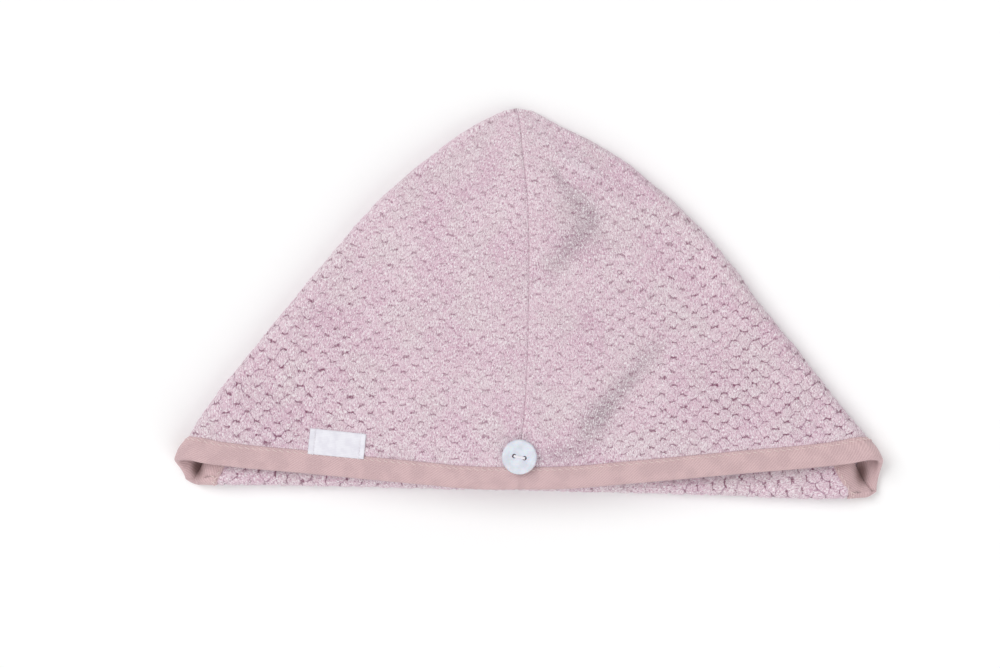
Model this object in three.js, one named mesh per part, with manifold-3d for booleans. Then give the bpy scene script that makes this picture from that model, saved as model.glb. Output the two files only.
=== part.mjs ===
import * as THREE from 'three';
import { mergeVertices } from 'three/addons/utils/BufferGeometryUtils.js';
import Module from 'manifold-3d';

const wasm = await Module();
wasm.setup();

// A hair turban towel, lying flat and face up. Millimetres: +Y points at its tip and +Z up.
// Until the last lines, y = 0 is the level of the two lower corners and x = 0 the centre line.

// Outline
const HOOD_WIDTH = 304.6; // over the binding, from corner to corner
const LEFT_PART = 0.4836; // share of the width that lies left of the centre line
const TIP_HEIGHT = 150.5; // from the corners up to the tip
const RIM_DROP = 13.7; // from the corners down to the middle of the front rim
const BOTTOM_DROP = 18.5; // from the corners down to the lowest place of the bottom fold
const SEAM_BOW = 5.3; // how far the front seam wanders from the centre line

// Cloth, binding and the play between pieces
const CLOTH = 2.4;
const TAPE = 0.9;
const TAPE_WIDTH = 9.5;
const GAP = 0.3;
const TAPE_GAP = 0.45; // between the cloth and the binding folded over it

// Loft
const CROWN = 9; // how far the front rises between the side folds
const DENT = 4; // depth of the deepest dent
const FOLD_SLACK = 0.35; // between the binding's two layers inside the bottom fold
const TAIL_SLACK = 0.9; // beside the tail's binding, inside the side folds
const CORNER_ROUND = 0.8; // how squarely the cloth's edge turns the lower corners

// Tail and its loop
const TAIL_LENGTH = 70;
const TAIL_END_BOW = 5; // how much the tail's end is rounded
const LOOP_WIDTH = 22;
const LOOP_LENGTH = 25;
const LOOP_BAND = 5;
const LOOP_THICKNESS = 1.6;

// Button and its thread
const BUTTON_DIAMETER = 15;
const BUTTON_THICKNESS = 2.6;
const BUTTON_DISH = 0.8; // depth of its dished face
const BUTTON_LIP = 1.6; // width of its raised edge
const BUTTON_LAP = 2.8; // how far it overlaps the binding
const BUTTON_TURN = -12; // degrees
const HOLE_DIAMETER = 2;
const HOLE_SPACING = 4.5;
const THREAD = 1;

// Label
const LABEL_WIDTH = 24;
const LABEL_HEIGHT = 10.5;
const LABEL_THICKNESS = 0.8;
const LABEL_LAP = 1; // how far it overlaps the binding
const LABEL_PLACE = 0.53; // share of the way from the centre line to the left corner
const LABEL_LEAN = 0.11; // sideways step for each step up

// Sections of the hood at shares of TIP_HEIGHT: the half widths left and right of the centre line,
// and the shares of the side fold's radius, of CROWN and of SEAM_BOW.
const SECTIONS = [
  { up: -0.13, left: 1, right: 1, fold: 1, crown: 0.5, seam: 0.05 },
  { up: 0, left: 1, right: 1, fold: 1, crown: 0.6, seam: 0.19 },
  { up: 0.055, left: 0.968, right: 0.965, fold: 1, crown: 0.66, seam: 0.38 },
  { up: 0.15, left: 0.904, right: 0.889, fold: 1, crown: 0.78, seam: 0.65 },
  { up: 0.29, left: 0.789, right: 0.785, fold: 1, crown: 0.9, seam: 0.85 },
  { up: 0.43, left: 0.673, right: 0.675, fold: 1, crown: 0.98, seam: 0.94 },
  { up: 0.56, left: 0.561, right: 0.583, fold: 1, crown: 1, seam: 0.98 },
  { up: 0.7, left: 0.436, right: 0.459, fold: 1, crown: 0.92, seam: 0.91 },
  { up: 0.77, left: 0.362, right: 0.382, fold: 0.95, crown: 0.8, seam: 0.78 },
  { up: 0.87, left: 0.235, right: 0.255, fold: 0.7, crown: 0.5, seam: 0.46 },
  { up: 0.94, left: 0.133, right: 0.126, fold: 0.42, crown: 0.28, seam: 0.3 },
  { up: 0.985, left: 0.04, right: 0.045, fold: 0.12, crown: 0.05, seam: 0.1 },
];

// The front rim: shares of RIM_DROP, at shares of the way from the seam to the side fold.
const RIM = [
  { out: 0, drop: 1 },
  { out: 0.13, drop: 0.99 },
  { out: 0.26, drop: 0.88 },
  { out: 0.66, drop: 0.5 },
  { out: 0.91, drop: 0.27 },
  { out: 1, drop: 0.12 },
];

// The bottom fold: shares of BOTTOM_DROP, at shares of half the width, left to right.
const BOTTOM = [
  { across: -1, drop: 0.68 },
  { across: -0.6, drop: 0.7 },
  { across: -0.2, drop: 0.78 },
  { across: 0.15, drop: 0.84 },
  { across: 0.6, drop: 0.93 },
  { across: 0.83, drop: 1 },
  { across: 1, drop: 0.89 },
];

// Where the back comes down off the binding that lies under its sides: shares of its half width
const BACK_DOWN = { from: 0.78, to: 0.92 };

// The dents fade out over these shares of a panel's width, at the seam and at the side fold
const DENT_FADE = { seam: 0.12, fold: 0.25 };

// The tail's half width, as a share of its width at the fold, at shares of its length.
const TAIL = [
  { along: 0, half: 1 },
  { along: 0.07, half: 0.984 },
  { along: 0.2, half: 0.967 },
  { along: 0.43, half: 0.9 },
  { along: 0.7, half: 0.72 },
  { along: 0.86, half: 0.5 },
  { along: 0.93, half: 0.3 },
  { along: 1, half: 0.12 },
];

// Dents and swells of the front. Places are shares of a panel's width, from the seam, and of
// TIP_HEIGHT; lengths are shares of TIP_HEIGHT, turns are degrees and depths shares of DENT.
const DENTS = [
  { panel: 'right', out: 0.36, up: 0.68, long: 0.13, short: 0.07, turn: -40, depth: 1 },
  { panel: 'right', out: 0.16, up: 0.53, long: 0.12, short: 0.06, turn: 70, depth: 0.6 },
  { panel: 'right', out: 0.38, up: 0.2, long: 0.2, short: 0.07, turn: 50, depth: 0.6 },
  { panel: 'right', out: 0.5, up: 0.83, long: 0.11, short: 0.05, turn: -42, depth: -0.3 },
  { panel: 'left', out: 0.54, up: 0.47, long: 0.16, short: 0.12, turn: 30, depth: -0.5 },
  { panel: 'left', out: 0.3, up: 0.78, long: 0.12, short: 0.06, turn: 45, depth: 0.35 },
];

// Half the thickness of the bound edge, how far the binding stands out beyond the cloth's cut edge,
// and how far it covers the cloth
const TAPE_HALF = CLOTH / 2 + TAPE_GAP + TAPE;
const TAPE_EDGE = TAPE_GAP + TAPE;
const TAPE_REACH = TAPE_WIDTH - TAPE_EDGE;

// Radii of the folds, at the middle of the cloth
const BOTTOM_FOLD = TAPE_HALF + FOLD_SLACK;
const SIDE_FOLD = BOTTOM_FOLD + TAPE_HALF + TAIL_SLACK / 2;
const TIP_FOLD = 0.75 * CLOTH;
const TAIL_HEIGHT = TAPE_HALF + 2 * BOTTOM_FOLD;
const TIP_RING = SECTIONS.at(-1).up * TIP_HEIGHT;

// Facets
const FRONT_STEPS = 10;
const FOLD_STEPS = 12;
const BACK_STEPS = 8;
const OPEN_ROWS = 17;
const ROW_EASE = 0.35;
const TAPE_ROWS = 4;
const CLOSE_ROWS = TAPE_ROWS + 2;
const BOTTOM_ROWS = 6;
const TAIL_ROWS = 9;
const LABEL_STEPS = 6;
const BUTTON_SIDES = 28;
const HOLE_SIDES = 12;
const THREAD_SIDES = 6;
const THREAD_STEPS = 14;
const LOOP_SEGMENTS = 10;
const SMALL_STEP = 0.001;
const MERGE = 0.0001;

const { clamp, degToRad, lerp, smoothstep } = THREE.MathUtils;

const PANELS = {
  left: { sign: -1, reach: HOOD_WIDTH * LEFT_PART - TAPE_EDGE },
  right: { sign: 1, reach: HOOD_WIDTH * (1 - LEFT_PART) - TAPE_EDGE },
};

// A smooth curve through one column of a table, read at a place along another
function read(table, key, column, place) {
  const last = table.length - 1;
  const x = clamp(place, table[0][key], table[last][key]);
  let i = 0;
  while (i < last - 1 && x > table[i + 1][key]) i += 1;
  const slope = (row) => {
    const before = table[Math.max(row - 1, 0)];
    const after = table[Math.min(row + 1, last)];
    return (after[column] - before[column]) / (after[key] - before[key]);
  };
  const span = table[i + 1][key] - table[i][key];
  const t = (x - table[i][key]) / span;
  const rest = 1 - t;
  const start = table[i][column] + slope(i) * span * t;
  const end = table[i + 1][column] - slope(i + 1) * span * rest;
  const blend = t * t * (3 - 2 * t);
  return start + (end - start) * blend;
}

// One level of a panel: the side fold's radius, and the half width of its flat part
function section(side, y) {
  const panel = PANELS[side];
  const up = y / TIP_HEIGHT;
  const radius = TIP_FOLD + (SIDE_FOLD - TIP_FOLD) * read(SECTIONS, 'up', 'fold', up);
  const flat = panel.reach * read(SECTIONS, 'up', side, up) - CLOTH / 2 - radius;
  const seam = SEAM_BOW * read(SECTIONS, 'up', 'seam', up) + panel.sign * GAP / 2;
  const crown = CROWN * read(SECTIONS, 'up', 'crown', up);
  // The binding round the corners is thicker than the cloth, and lifts it there
  const lift = (TAPE_HALF - CLOTH / 2) * (1 - smoothstep(y, TAPE_WIDTH, 3 * TAPE_WIDTH));
  return { sign: panel.sign, radius, flat, seam, crown, lift };
}

function frontRelief(side, out, y) {
  let height = 0;
  for (const dent of DENTS) {
    if (dent.panel !== side) continue;
    const level = section(side, dent.up * TIP_HEIGHT);
    const dx = (out - dent.out) * level.flat * level.sign;
    const dy = y - dent.up * TIP_HEIGHT;
    const turn = degToRad(dent.turn);
    const along = (dx * Math.cos(turn) + dy * Math.sin(turn)) / (dent.long * TIP_HEIGHT);
    const aside = (dy * Math.cos(turn) - dx * Math.sin(turn)) / (dent.short * TIP_HEIGHT);
    height -= DENT * dent.depth * Math.exp(-2 * (along * along + aside * aside));
  }
  return height * smoothstep(out, 0, DENT_FADE.seam) * smoothstep(1 - out, 0, DENT_FADE.fold);
}

function backHeight(side, x, y) {
  const level = section(side, y);
  return CLOTH / 2 + level.lift * smoothstep(x / level.flat, BACK_DOWN.from, BACK_DOWN.to);
}

// The middle of the hood's cloth: place 0 to 1 runs along the front from the seam to the side
// fold, 1 to 2 round the fold and 2 to 3 along the back to the centre line.
function hood(side, place, y) {
  const level = section(side, y);
  const base = CLOTH / 2 + level.lift;
  if (place <= 1) {
    const x = lerp(level.seam, level.sign * level.flat, place);
    const swell = level.crown * (1 - place * place) ** 2;
    const z = base + 2 * level.radius + swell + frontRelief(side, place, y);
    return new THREE.Vector3(x, y, z);
  }
  if (place <= 2) {
    const angle = Math.PI * (1.5 - place);
    const x = level.flat + level.radius * Math.cos(angle);
    return new THREE.Vector3(level.sign * x, y, base + level.radius * (1 + Math.sin(angle)));
  }
  const x = lerp(level.flat, GAP / 2, place - 2);
  return new THREE.Vector3(level.sign * x, y, backHeight(side, x, y));
}

// The bottom fold is tightest at its ends, where the binding lifts the back
function bottomRadius(side, x) {
  return (TAIL_HEIGHT - backHeight(side, x, 0)) / 2;
}

// Where the bottom fold begins, at a distance from the centre line
function foldLine(side, x) {
  const across = (PANELS[side].sign * x) / (HOOD_WIDTH / 2);
  const lowest = -BOTTOM_DROP * read(BOTTOM, 'across', 'drop', across);
  return lowest + bottomRadius(side, x) + CLOTH / 2;
}

function cornerLine(side) {
  return foldLine(side, section(side, 0).flat);
}

// The middle of the tail's cloth, at a length past the line where the bottom fold begins
function tail(side, x, past) {
  const radius = bottomRadius(side, x);
  const turned = clamp(past / BOTTOM_FOLD, 0, Math.PI);
  const straight = Math.abs(past - turned * BOTTOM_FOLD);
  const y = foldLine(side, x) - radius * Math.sin(turned) + straight;
  const z = TAIL_HEIGHT - radius * (1 + Math.cos(turned));
  return new THREE.Vector3(PANELS[side].sign * x, y, z);
}

function tailHalf(side, past) {
  const along = (past - Math.PI * BOTTOM_FOLD) / TAIL_LENGTH;
  const corner = section(side, cornerLine(side)).flat;
  return corner * read(TAIL, 'along', 'half', clamp(along, 0, 1));
}

// A point of a surface with the direction that its outer face looks in
function facing(surface, sign, u, v) {
  const du = surface(u + SMALL_STEP, v).sub(surface(u - SMALL_STEP, v));
  const dv = surface(u, v + SMALL_STEP).sub(surface(u, v - SMALL_STEP));
  const normal = du.cross(dv).normalize().multiplyScalar(sign);
  return { point: surface(u, v), normal };
}

function hoodFacing(side, place, y) {
  const surface = (u, v) => hood(side, clamp(u, 0, 3), v);
  return facing(surface, PANELS[side].sign, place, y);
}

function tailFacing(side, x, past) {
  const surface = (u, v) => tail(side, Math.max(u, 0), v);
  return facing(surface, PANELS[side].sign, x, past);
}

const offset = ({ point, normal }, distance) => point.clone().addScaledVector(normal, distance);

// The cloth's cut edge on the front and round the end of the side fold
function edgeLevel(side, place) {
  const rim = -RIM_DROP * read(RIM, 'out', 'drop', Math.min(place, 1)) + TAPE_EDGE;
  if (place <= 1) return rim;
  return lerp(cornerLine(side), rim, (1 - (place - 1) ** 2) ** CORNER_ROUND);
}

// The places of a panel's lines, from the front seam to the back seam
function panelPlaces() {
  const places = [];
  for (let i = 0; i <= FRONT_STEPS; i += 1) places.push(i / FRONT_STEPS);
  for (let i = 1; i <= FOLD_STEPS; i += 1) places.push(1 + i / FOLD_STEPS);
  for (let i = 1; i <= BACK_STEPS; i += 1) places.push(2 + i / BACK_STEPS);
  return places;
}

// Levels of one line from the tip's ring down to its end: closer together near both ends of the
// open cloth, and closest near and under the binding
function hoodLevels(end) {
  const step = TAPE_REACH / TAPE_ROWS;
  const levels = [];
  for (let row = 0; row < OPEN_ROWS; row += 1) {
    const turn = (2 * Math.PI * row) / OPEN_ROWS;
    const share = (turn - ROW_EASE * Math.sin(turn)) / (2 * Math.PI);
    levels.push(lerp(TIP_RING, end + CLOSE_ROWS * step, share));
  }
  for (let row = CLOSE_ROWS; row >= 0; row -= 1) levels.push(end + row * step);
  return levels;
}

// Rows of the tail at a share of its half width, round the bottom fold and up to its end
function tailRows(side, share) {
  const rows = [];
  const length = TAIL_LENGTH - TAIL_END_BOW * share ** 4;
  for (let row = 1; row <= BOTTOM_ROWS; row += 1) {
    rows.push({ past: (Math.PI * BOTTOM_FOLD * row) / BOTTOM_ROWS });
  }
  for (let row = 1; row <= TAIL_ROWS; row += 1) {
    const along = Math.sin((Math.PI / 2) * (row / TAIL_ROWS));
    rows.push({ past: Math.PI * BOTTOM_FOLD + length * along });
  }
  for (const row of rows) row.x = lerp(GAP / 2, tailHalf(side, row.past), share);
  return rows;
}

// Collects the points and triangles of one closed body
class Body {
  positions = [];
  triangles = [];

  add(point) {
    this.positions.push(point.x, point.y, point.z);
    return this.positions.length / 3 - 1;
  }

  quad(a, b, c, d) {
    for (const triangle of [[a, b, c], [a, c, d]]) {
      if (new Set(triangle).size === 3) this.triangles.push(...triangle);
    }
  }

  geometry(flip) {
    const index = flip ? this.triangles.toReversed() : this.triangles;
    const geometry = new THREE.BufferGeometry();
    geometry.setAttribute('position', new THREE.Float32BufferAttribute(this.positions, 3));
    geometry.setIndex(index);
    geometry.computeVertexNormals();
    return geometry;
  }
}

// Closes a wall whose lines of outer and inner points start together; some lines are longer
function wall(body, lines, edge) {
  for (let line = 1; line < lines.length; line += 1) {
    const a = lines[line - 1];
    const b = lines[line];
    for (let row = 1; row < Math.min(a.length, b.length); row += 1) {
      body.quad(a[row - 1].outer, a[row].outer, b[row].outer, b[row - 1].outer);
      body.quad(a[row - 1].inner, b[row - 1].inner, b[row].inner, a[row].inner);
    }
  }
  for (let i = 0; i < edge.length; i += 1) {
    const a = edge[i];
    const b = edge[(i + 1) % edge.length];
    body.quad(a.outer, a.inner, b.inner, b.outer);
  }
}

function panelGeometry(side) {
  const body = new Body();
  const pair = (faced) => ({
    outer: body.add(offset(faced, CLOTH / 2)),
    inner: body.add(offset(faced, -CLOTH / 2)),
  });
  const tipX = PANELS[side].sign * GAP / 2;
  const tipZ = CLOTH / 2 + TIP_FOLD;
  const tip = {
    outer: body.add(new THREE.Vector3(tipX, TIP_HEIGHT, tipZ)),
    inner: body.add(new THREE.Vector3(tipX, TIP_RING + CLOTH / 4, tipZ)),
  };
  const lines = panelPlaces().map((place) => {
    const back = place > 2;
    const share = 3 - place;
    const x = lerp(GAP / 2, tailHalf(side, 0), share);
    const end = back ? foldLine(side, x) : edgeLevel(side, place);
    const line = [tip];
    for (const y of hoodLevels(end)) line.push(pair(hoodFacing(side, place, y)));
    if (place < 2) return line;
    for (const row of tailRows(side, share)) line.push(pair(tailFacing(side, row.x, row.past)));
    return line;
  });
  const corner = FRONT_STEPS + FOLD_STEPS;
  const edge = [
    ...lines[0],
    ...lines.slice(1, corner).map((line) => line.at(-1)),
    ...lines[corner].slice(OPEN_ROWS + CLOSE_ROWS + 1),
    ...lines.slice(corner + 1, -1).map((line) => line.at(-1)),
    ...lines.at(-1).slice(1).reverse(),
  ];
  wall(body, lines, edge);
  return body.geometry(side === 'left');
}

// The places that the binding passes on one panel, each with a walk inwards along the cloth
function bindingStops(side) {
  const stops = [];
  const places = panelPlaces();
  for (const place of places.filter((each) => each <= 1)) {
    const y = edgeLevel(side, place);
    stops.push((inward) => hoodFacing(side, place, y + inward));
  }
  for (const place of places.filter((each) => each > 1 && each <= 2)) {
    const y = edgeLevel(side, place);
    const turn = (Math.PI / 2) * (place - 1) ** 3;
    stops.push((inward) => {
      const level = section(side, y + inward * Math.cos(turn));
      const round = place + (inward * Math.sin(turn)) / (Math.PI * level.radius);
      const beyond = (round - 2) * Math.PI * level.radius;
      const walked = round <= 2 ? round : 2 + beyond / (level.flat - GAP / 2);
      return hoodFacing(side, walked, y + inward * Math.cos(turn));
    });
  }
  const sideRows = [{ past: 0, x: tailHalf(side, 0) }, ...tailRows(side, 1)];
  const shares = places.filter((each) => each > 2).map((each) => 3 - each);
  const route = [...sideRows, ...shares.map((share) => tailRows(side, share).at(-1))];
  for (let i = 1; i < route.length; i += 1) {
    const before = route[i - 1];
    const after = route[Math.min(i + 1, route.length - 1)];
    const run = new THREE.Vector2(after.x - before.x, after.past - before.past).normalize();
    if (i <= BOTTOM_ROWS) run.set(0, 1);
    if (i === route.length - 1) run.set(-1, 0);
    const { x, past } = route[i];
    stops.push((inward) => tailFacing(side, x - inward * run.y, past + inward * run.x));
  }
  return stops;
}

// The binding's folded section at one stop, round its outside and back along its channel
function bindingSection(stop) {
  const across = [];
  for (let i = TAPE_ROWS; i >= 0; i -= 1) across.push(stop((TAPE_REACH * i) / TAPE_ROWS));
  const edge = across.at(-1);
  const outward = edge.point.clone().sub(across.at(-2).point).normalize();
  const channel = CLOTH / 2 + TAPE_GAP;
  const covered = across.slice(0, -1);
  const beyond = (distance, height) => offset(edge, height).addScaledVector(outward, distance);
  return [
    ...across.map((each) => offset(each, TAPE_HALF)),
    beyond(TAPE_EDGE, TAPE_HALF / 2),
    beyond(TAPE_EDGE, -TAPE_HALF / 2),
    ...across.toReversed().map((each) => offset(each, -TAPE_HALF)),
    ...covered.map((each) => offset(each, -channel)),
    beyond(TAPE_GAP, -channel),
    beyond(TAPE_GAP, channel),
    ...covered.toReversed().map((each) => offset(each, channel)),
  ];
}

function bindingGeometry() {
  const body = new Body();
  const stops = [...bindingStops('left'), ...bindingStops('right').slice(1, -1).reverse()];
  const rings = stops.map((stop) => bindingSection(stop).map((point) => body.add(point)));
  for (let i = 0; i < rings.length; i += 1) {
    const a = rings[i];
    const b = rings[(i + 1) % rings.length];
    for (let j = 0; j < a.length; j += 1) {
      const k = (j + 1) % a.length;
      body.quad(b[j], a[j], a[k], b[k]);
    }
  }
  return body.geometry(true);
}

// Thickens a grid of faced points, row by row, into a closed sheet
function sheetGeometry(grid, low, high) {
  const body = new Body();
  const lines = grid.map((line) => line.map((faced) => ({
    outer: body.add(offset(faced, faced.seat + high)),
    inner: body.add(offset(faced, faced.seat + low)),
  })));
  const last = lines.at(-1);
  const edge = [
    ...lines[0],
    ...lines.slice(1, -1).map((line) => line.at(-1)),
    ...last.toReversed(),
    ...lines.slice(1, -1).map((line) => line[0]).reverse(),
  ];
  wall(body, lines, edge);
  return body.geometry(true);
}

// The label lies on the cloth, and its lower edge on the binding
function labelGeometry() {
  const step = LABEL_LAP + 2 * GAP;
  const ramp = step + 2 * TAPE;
  const rows = [
    { up: 0, seat: TAPE_HALF },
    { up: step, seat: TAPE_HALF },
    { up: ramp, seat: CLOTH / 2 },
    { up: (ramp + LABEL_HEIGHT) / 2, seat: CLOTH / 2 },
    { up: LABEL_HEIGHT, seat: CLOTH / 2 },
  ];
  const grid = [];
  for (let i = 0; i <= LABEL_STEPS; i += 1) {
    const across = LABEL_WIDTH * (i / LABEL_STEPS - 0.5);
    grid.push(rows.map(({ up, seat }) => {
      const x = across - LABEL_PLACE * PANELS.left.reach + LABEL_LEAN * up;
      const rough = section('left', up);
      const level = edgeLevel('left', (x - rough.seam) / (-rough.flat - rough.seam));
      const y = level + TAPE_REACH - LABEL_LAP + up;
      const exact = section('left', y);
      const place = (x - exact.seam) / (-exact.flat - exact.seam);
      return { ...hoodFacing('left', place, y), seat };
    }));
  }
  return sheetGeometry(grid, GAP, GAP + LABEL_THICKNESS);
}

// Closed geometry as a solid that can be cut
function toSolid(geometry) {
  const bare = new THREE.BufferGeometry();
  bare.setAttribute('position', geometry.getAttribute('position'));
  bare.setIndex(geometry.getIndex());
  const merged = mergeVertices(bare, MERGE);
  const index = merged.getIndex().array;
  const triVerts = [];
  for (let i = 0; i < index.length; i += 3) {
    const triangle = [...index.slice(i, i + 3)];
    if (new Set(triangle).size === 3) triVerts.push(...triangle);
  }
  const vertProperties = merged.getAttribute('position').array;
  return new wasm.Manifold(new wasm.Mesh({
    numProp: 3,
    vertProperties,
    triVerts: new Uint32Array(triVerts),
  }));
}

function toGeometry(manifold) {
  const { vertProperties, triVerts } = manifold.getMesh();
  const geometry = new THREE.BufferGeometry();
  geometry.setAttribute('position', new THREE.BufferAttribute(vertProperties, 3));
  geometry.setIndex(new THREE.BufferAttribute(triVerts, 1));
  geometry.computeVertexNormals();
  return geometry;
}

// A dished button with a raised edge, standing on its own origin
function buttonGeometry() {
  const radius = BUTTON_DIAMETER / 2;
  const bevel = BUTTON_DISH / 2;
  const top = BUTTON_THICKNESS;
  const profile = [
    [0, 0],
    [radius - bevel, 0],
    [radius, bevel],
    [radius, top - bevel],
    [radius - bevel, top],
    [radius - BUTTON_LIP, top],
    [radius - BUTTON_LIP - BUTTON_DISH, top - BUTTON_DISH],
    [0, top - BUTTON_DISH],
  ].map(([x, y]) => new THREE.Vector2(x, y));
  let button = toSolid(new THREE.LatheGeometry(profile, BUTTON_SIDES).rotateX(Math.PI / 2));
  for (const side of [-1, 1]) {
    const hole = new THREE.CylinderGeometry(
      HOLE_DIAMETER / 2, HOLE_DIAMETER / 2, 3 * BUTTON_THICKNESS, HOLE_SIDES,
    ).rotateX(Math.PI / 2).translate(side * HOLE_SPACING / 2, 0, 0);
    button = button.subtract(toSolid(hole));
  }
  return toGeometry(button);
}

// The thread comes up through one hole, crosses the button's dish and goes down the other
function threadGeometry() {
  const half = HOLE_SPACING / 2;
  const low = CLOTH / 2 - TAPE_HALF;
  const dish = BUTTON_THICKNESS - BUTTON_DISH;
  const crossing = dish + GAP + THREAD / 2;
  const route = [
    new THREE.Vector3(-half, 0, low),
    new THREE.Vector3(-half, 0, dish / 2),
    new THREE.Vector3(-half + THREAD / 4, 0, crossing - THREAD / 3),
    new THREE.Vector3(-half + THREAD, 0, crossing),
    new THREE.Vector3(half - THREAD, 0, crossing),
    new THREE.Vector3(half - THREAD / 4, 0, crossing - THREAD / 3),
    new THREE.Vector3(half, 0, dish / 2),
    new THREE.Vector3(half, 0, low),
  ];
  const circle = new THREE.Shape().absarc(0, 0, THREAD / 2, 0, 2 * Math.PI);
  return new THREE.ExtrudeGeometry(circle, {
    extrudePath: new THREE.CatmullRomCurve3(route),
    steps: THREAD_STEPS,
    curveSegments: THREAD_SIDES / 2,
    bevelEnabled: false,
  });
}

// A flat elastic loop, with its open end at y = 0
function loopGeometry() {
  const outer = LOOP_WIDTH / 2;
  const inner = outer - LOOP_BAND;
  const straight = LOOP_LENGTH - outer;
  const shape = new THREE.Shape()
    .moveTo(-outer, 0)
    .lineTo(-inner, 0)
    .lineTo(-inner, straight)
    .absarc(0, straight, inner, Math.PI, 0, true)
    .lineTo(inner, 0)
    .lineTo(outer, 0)
    .lineTo(outer, straight)
    .absarc(0, straight, outer, 0, Math.PI, false);
  return new THREE.ExtrudeGeometry(shape, {
    depth: LOOP_THICKNESS,
    curveSegments: LOOP_SEGMENTS,
    bevelEnabled: false,
  });
}

const towelling = new THREE.MeshStandardMaterial({ color: '#d6c2cc', roughness: 0.95 });
const twill = new THREE.MeshStandardMaterial({ color: '#cfb3b6', roughness: 0.85 });
const plastic = new THREE.MeshStandardMaterial({ color: '#dcdde5', roughness: 0.3 });
const cotton = new THREE.MeshStandardMaterial({ color: '#e6e1e6', roughness: 0.8 });
const satin = new THREE.MeshStandardMaterial({ color: '#efeaf3', roughness: 0.5 });
const elastic = new THREE.MeshStandardMaterial({ color: '#cdb4bd', roughness: 0.8 });

const towel = new THREE.Group();

function addMesh(parent, name, geometry, material) {
  const mesh = new THREE.Mesh(geometry, material);
  mesh.name = name;
  parent.add(mesh);
  return mesh;
}

addMesh(towel, 'panel_left', panelGeometry('left'), towelling);
addMesh(towel, 'panel_right', panelGeometry('right'), towelling);
addMesh(towel, 'rim_binding', bindingGeometry(), twill);
addMesh(towel, 'label', labelGeometry(), satin);

// The button and its thread sit square on the front, over the seam and the binding's upper edge
const fastening = new THREE.Group();
const buttonLevel = edgeLevel('left', 0) + TAPE_REACH - BUTTON_LAP + BUTTON_DIAMETER / 2;
const buttonSeat = hoodFacing('left', 0, buttonLevel);
fastening.position.copy(offset(buttonSeat, TAPE_HALF + GAP));
fastening.quaternion.setFromUnitVectors(new THREE.Vector3(0, 0, 1), buttonSeat.normal);
const turned = new THREE.Group();
turned.rotation.z = degToRad(BUTTON_TURN);
addMesh(turned, 'button', buttonGeometry(), plastic);
addMesh(turned, 'button_thread', threadGeometry(), cotton);
fastening.add(turned);
towel.add(fastening);

// The loop starts at the binding of the tail's end
const tailEnd = tail('left', GAP / 2, Math.PI * BOTTOM_FOLD + TAIL_LENGTH);
const loop = addMesh(towel, 'tail_loop', loopGeometry(), elastic);
loop.position.set(0, tailEnd.y + TAPE_EDGE + GAP, tailEnd.z - LOOP_THICKNESS / 2);

// The origin is below the middle of the whole towel, where it lies
const bounds = new THREE.Box3().setFromObject(towel);
const middle = bounds.getCenter(new THREE.Vector3());
towel.position.set(-middle.x, -middle.y, -bounds.min.z);

export default towel;
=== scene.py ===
"""A hair turban towel of popcorn-weave microfibre, lying flat and face up, seen from straight above.

Lengths are in millimetres until a mesh is made. Until then x = 0 is the towel's centre line and
y = 0 the level of its two lower corners, as in the part's own source.
"""
import math

import bmesh
import bpy
import numpy as np
from mathutils import Matrix, Vector


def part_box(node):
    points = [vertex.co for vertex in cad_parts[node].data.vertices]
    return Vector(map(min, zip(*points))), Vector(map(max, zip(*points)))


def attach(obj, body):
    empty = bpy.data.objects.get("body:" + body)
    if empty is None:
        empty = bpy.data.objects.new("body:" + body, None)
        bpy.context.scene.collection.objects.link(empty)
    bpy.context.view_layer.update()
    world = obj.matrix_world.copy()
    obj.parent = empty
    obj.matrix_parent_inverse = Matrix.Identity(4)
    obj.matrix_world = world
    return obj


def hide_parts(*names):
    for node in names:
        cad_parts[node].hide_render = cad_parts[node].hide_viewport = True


# The towel's own sizes
HOOD_WIDTH = 304.6
LEFT_PART = 0.4836
TIP_HEIGHT = 150.5
RIM_DROP = 13.7
BOTTOM_DROP = 18.5
SEAM_BOW = 5.3
CLOTH = 2.4
CROWN = 9.0
DENT = 4.0
CORNER_ROUND = 0.8
FLARE = 1.3  # the tape spreads the side fold's end by this much
TAIL_LENGTH = 70.0
TAIL_END_BOW = 5.0
CORNER_CUT = 2.2  # the bottom fold's two ends are rounded off by this much
EDGE_HALF = 2.55
EDGE_REACH = 1.35
LIFT_FADE = (9.5, 28.5)  # levels between which the tape stops lifting the cloth
TAPE_REACH = 8.15
BOTTOM_FOLD = 2.9
SIDE_FOLD = 5.9
TIP_FOLD = 1.8
TAIL_HEIGHT = 8.35
CORNER_HEIGHT = 5.2  # the tail is folded tighter at its two corners
TIP_RING = 0.985 * TIP_HEIGHT
FOLDED = np.pi * BOTTOM_FOLD  # the length of cloth in the bottom fold

# Popcorn weave: staggered puffs of pile, longer along the cloth's columns than across them
PUFF_WIDTH = 8.9  # over two columns
PUFF_LENGTH = 6.3
PUFF_HEIGHT = 0.8
WEAVE_LEVEL = 65.8  # the level that the weave's rows are counted from
UNDER_SINK = 0.62  # beneath, the puffs stand on the floor and the cloth's own face lies above it
# How far rows and outlines wander: the noise's scale, and its reach in millimetres
WANDER = ((0.11, 3.0), (0.55, 1.5))
END_BOW = (-0.15, 0.3)  # the least and the most that the gap at a puff's end bows
END_BOW_REACH = 1.6
END_WIDTH = 1.15  # the gap at a puff's end closes up beyond this half width, by this much
END_CLOSING = 0.75
TUFTS = (0.9, 0.7, 0)  # tufts in a millimetre, across and along the columns
SEAM_ROLL = 1.3  # how far from the seam the cloth rolls down into it
CORNER_LEVEL = -14.0  # behind a side fold's end, the tape reaches up from this level
SEAM_DEPTH = 0.5  # share of the cloth's half thickness that is left at the seam

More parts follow.
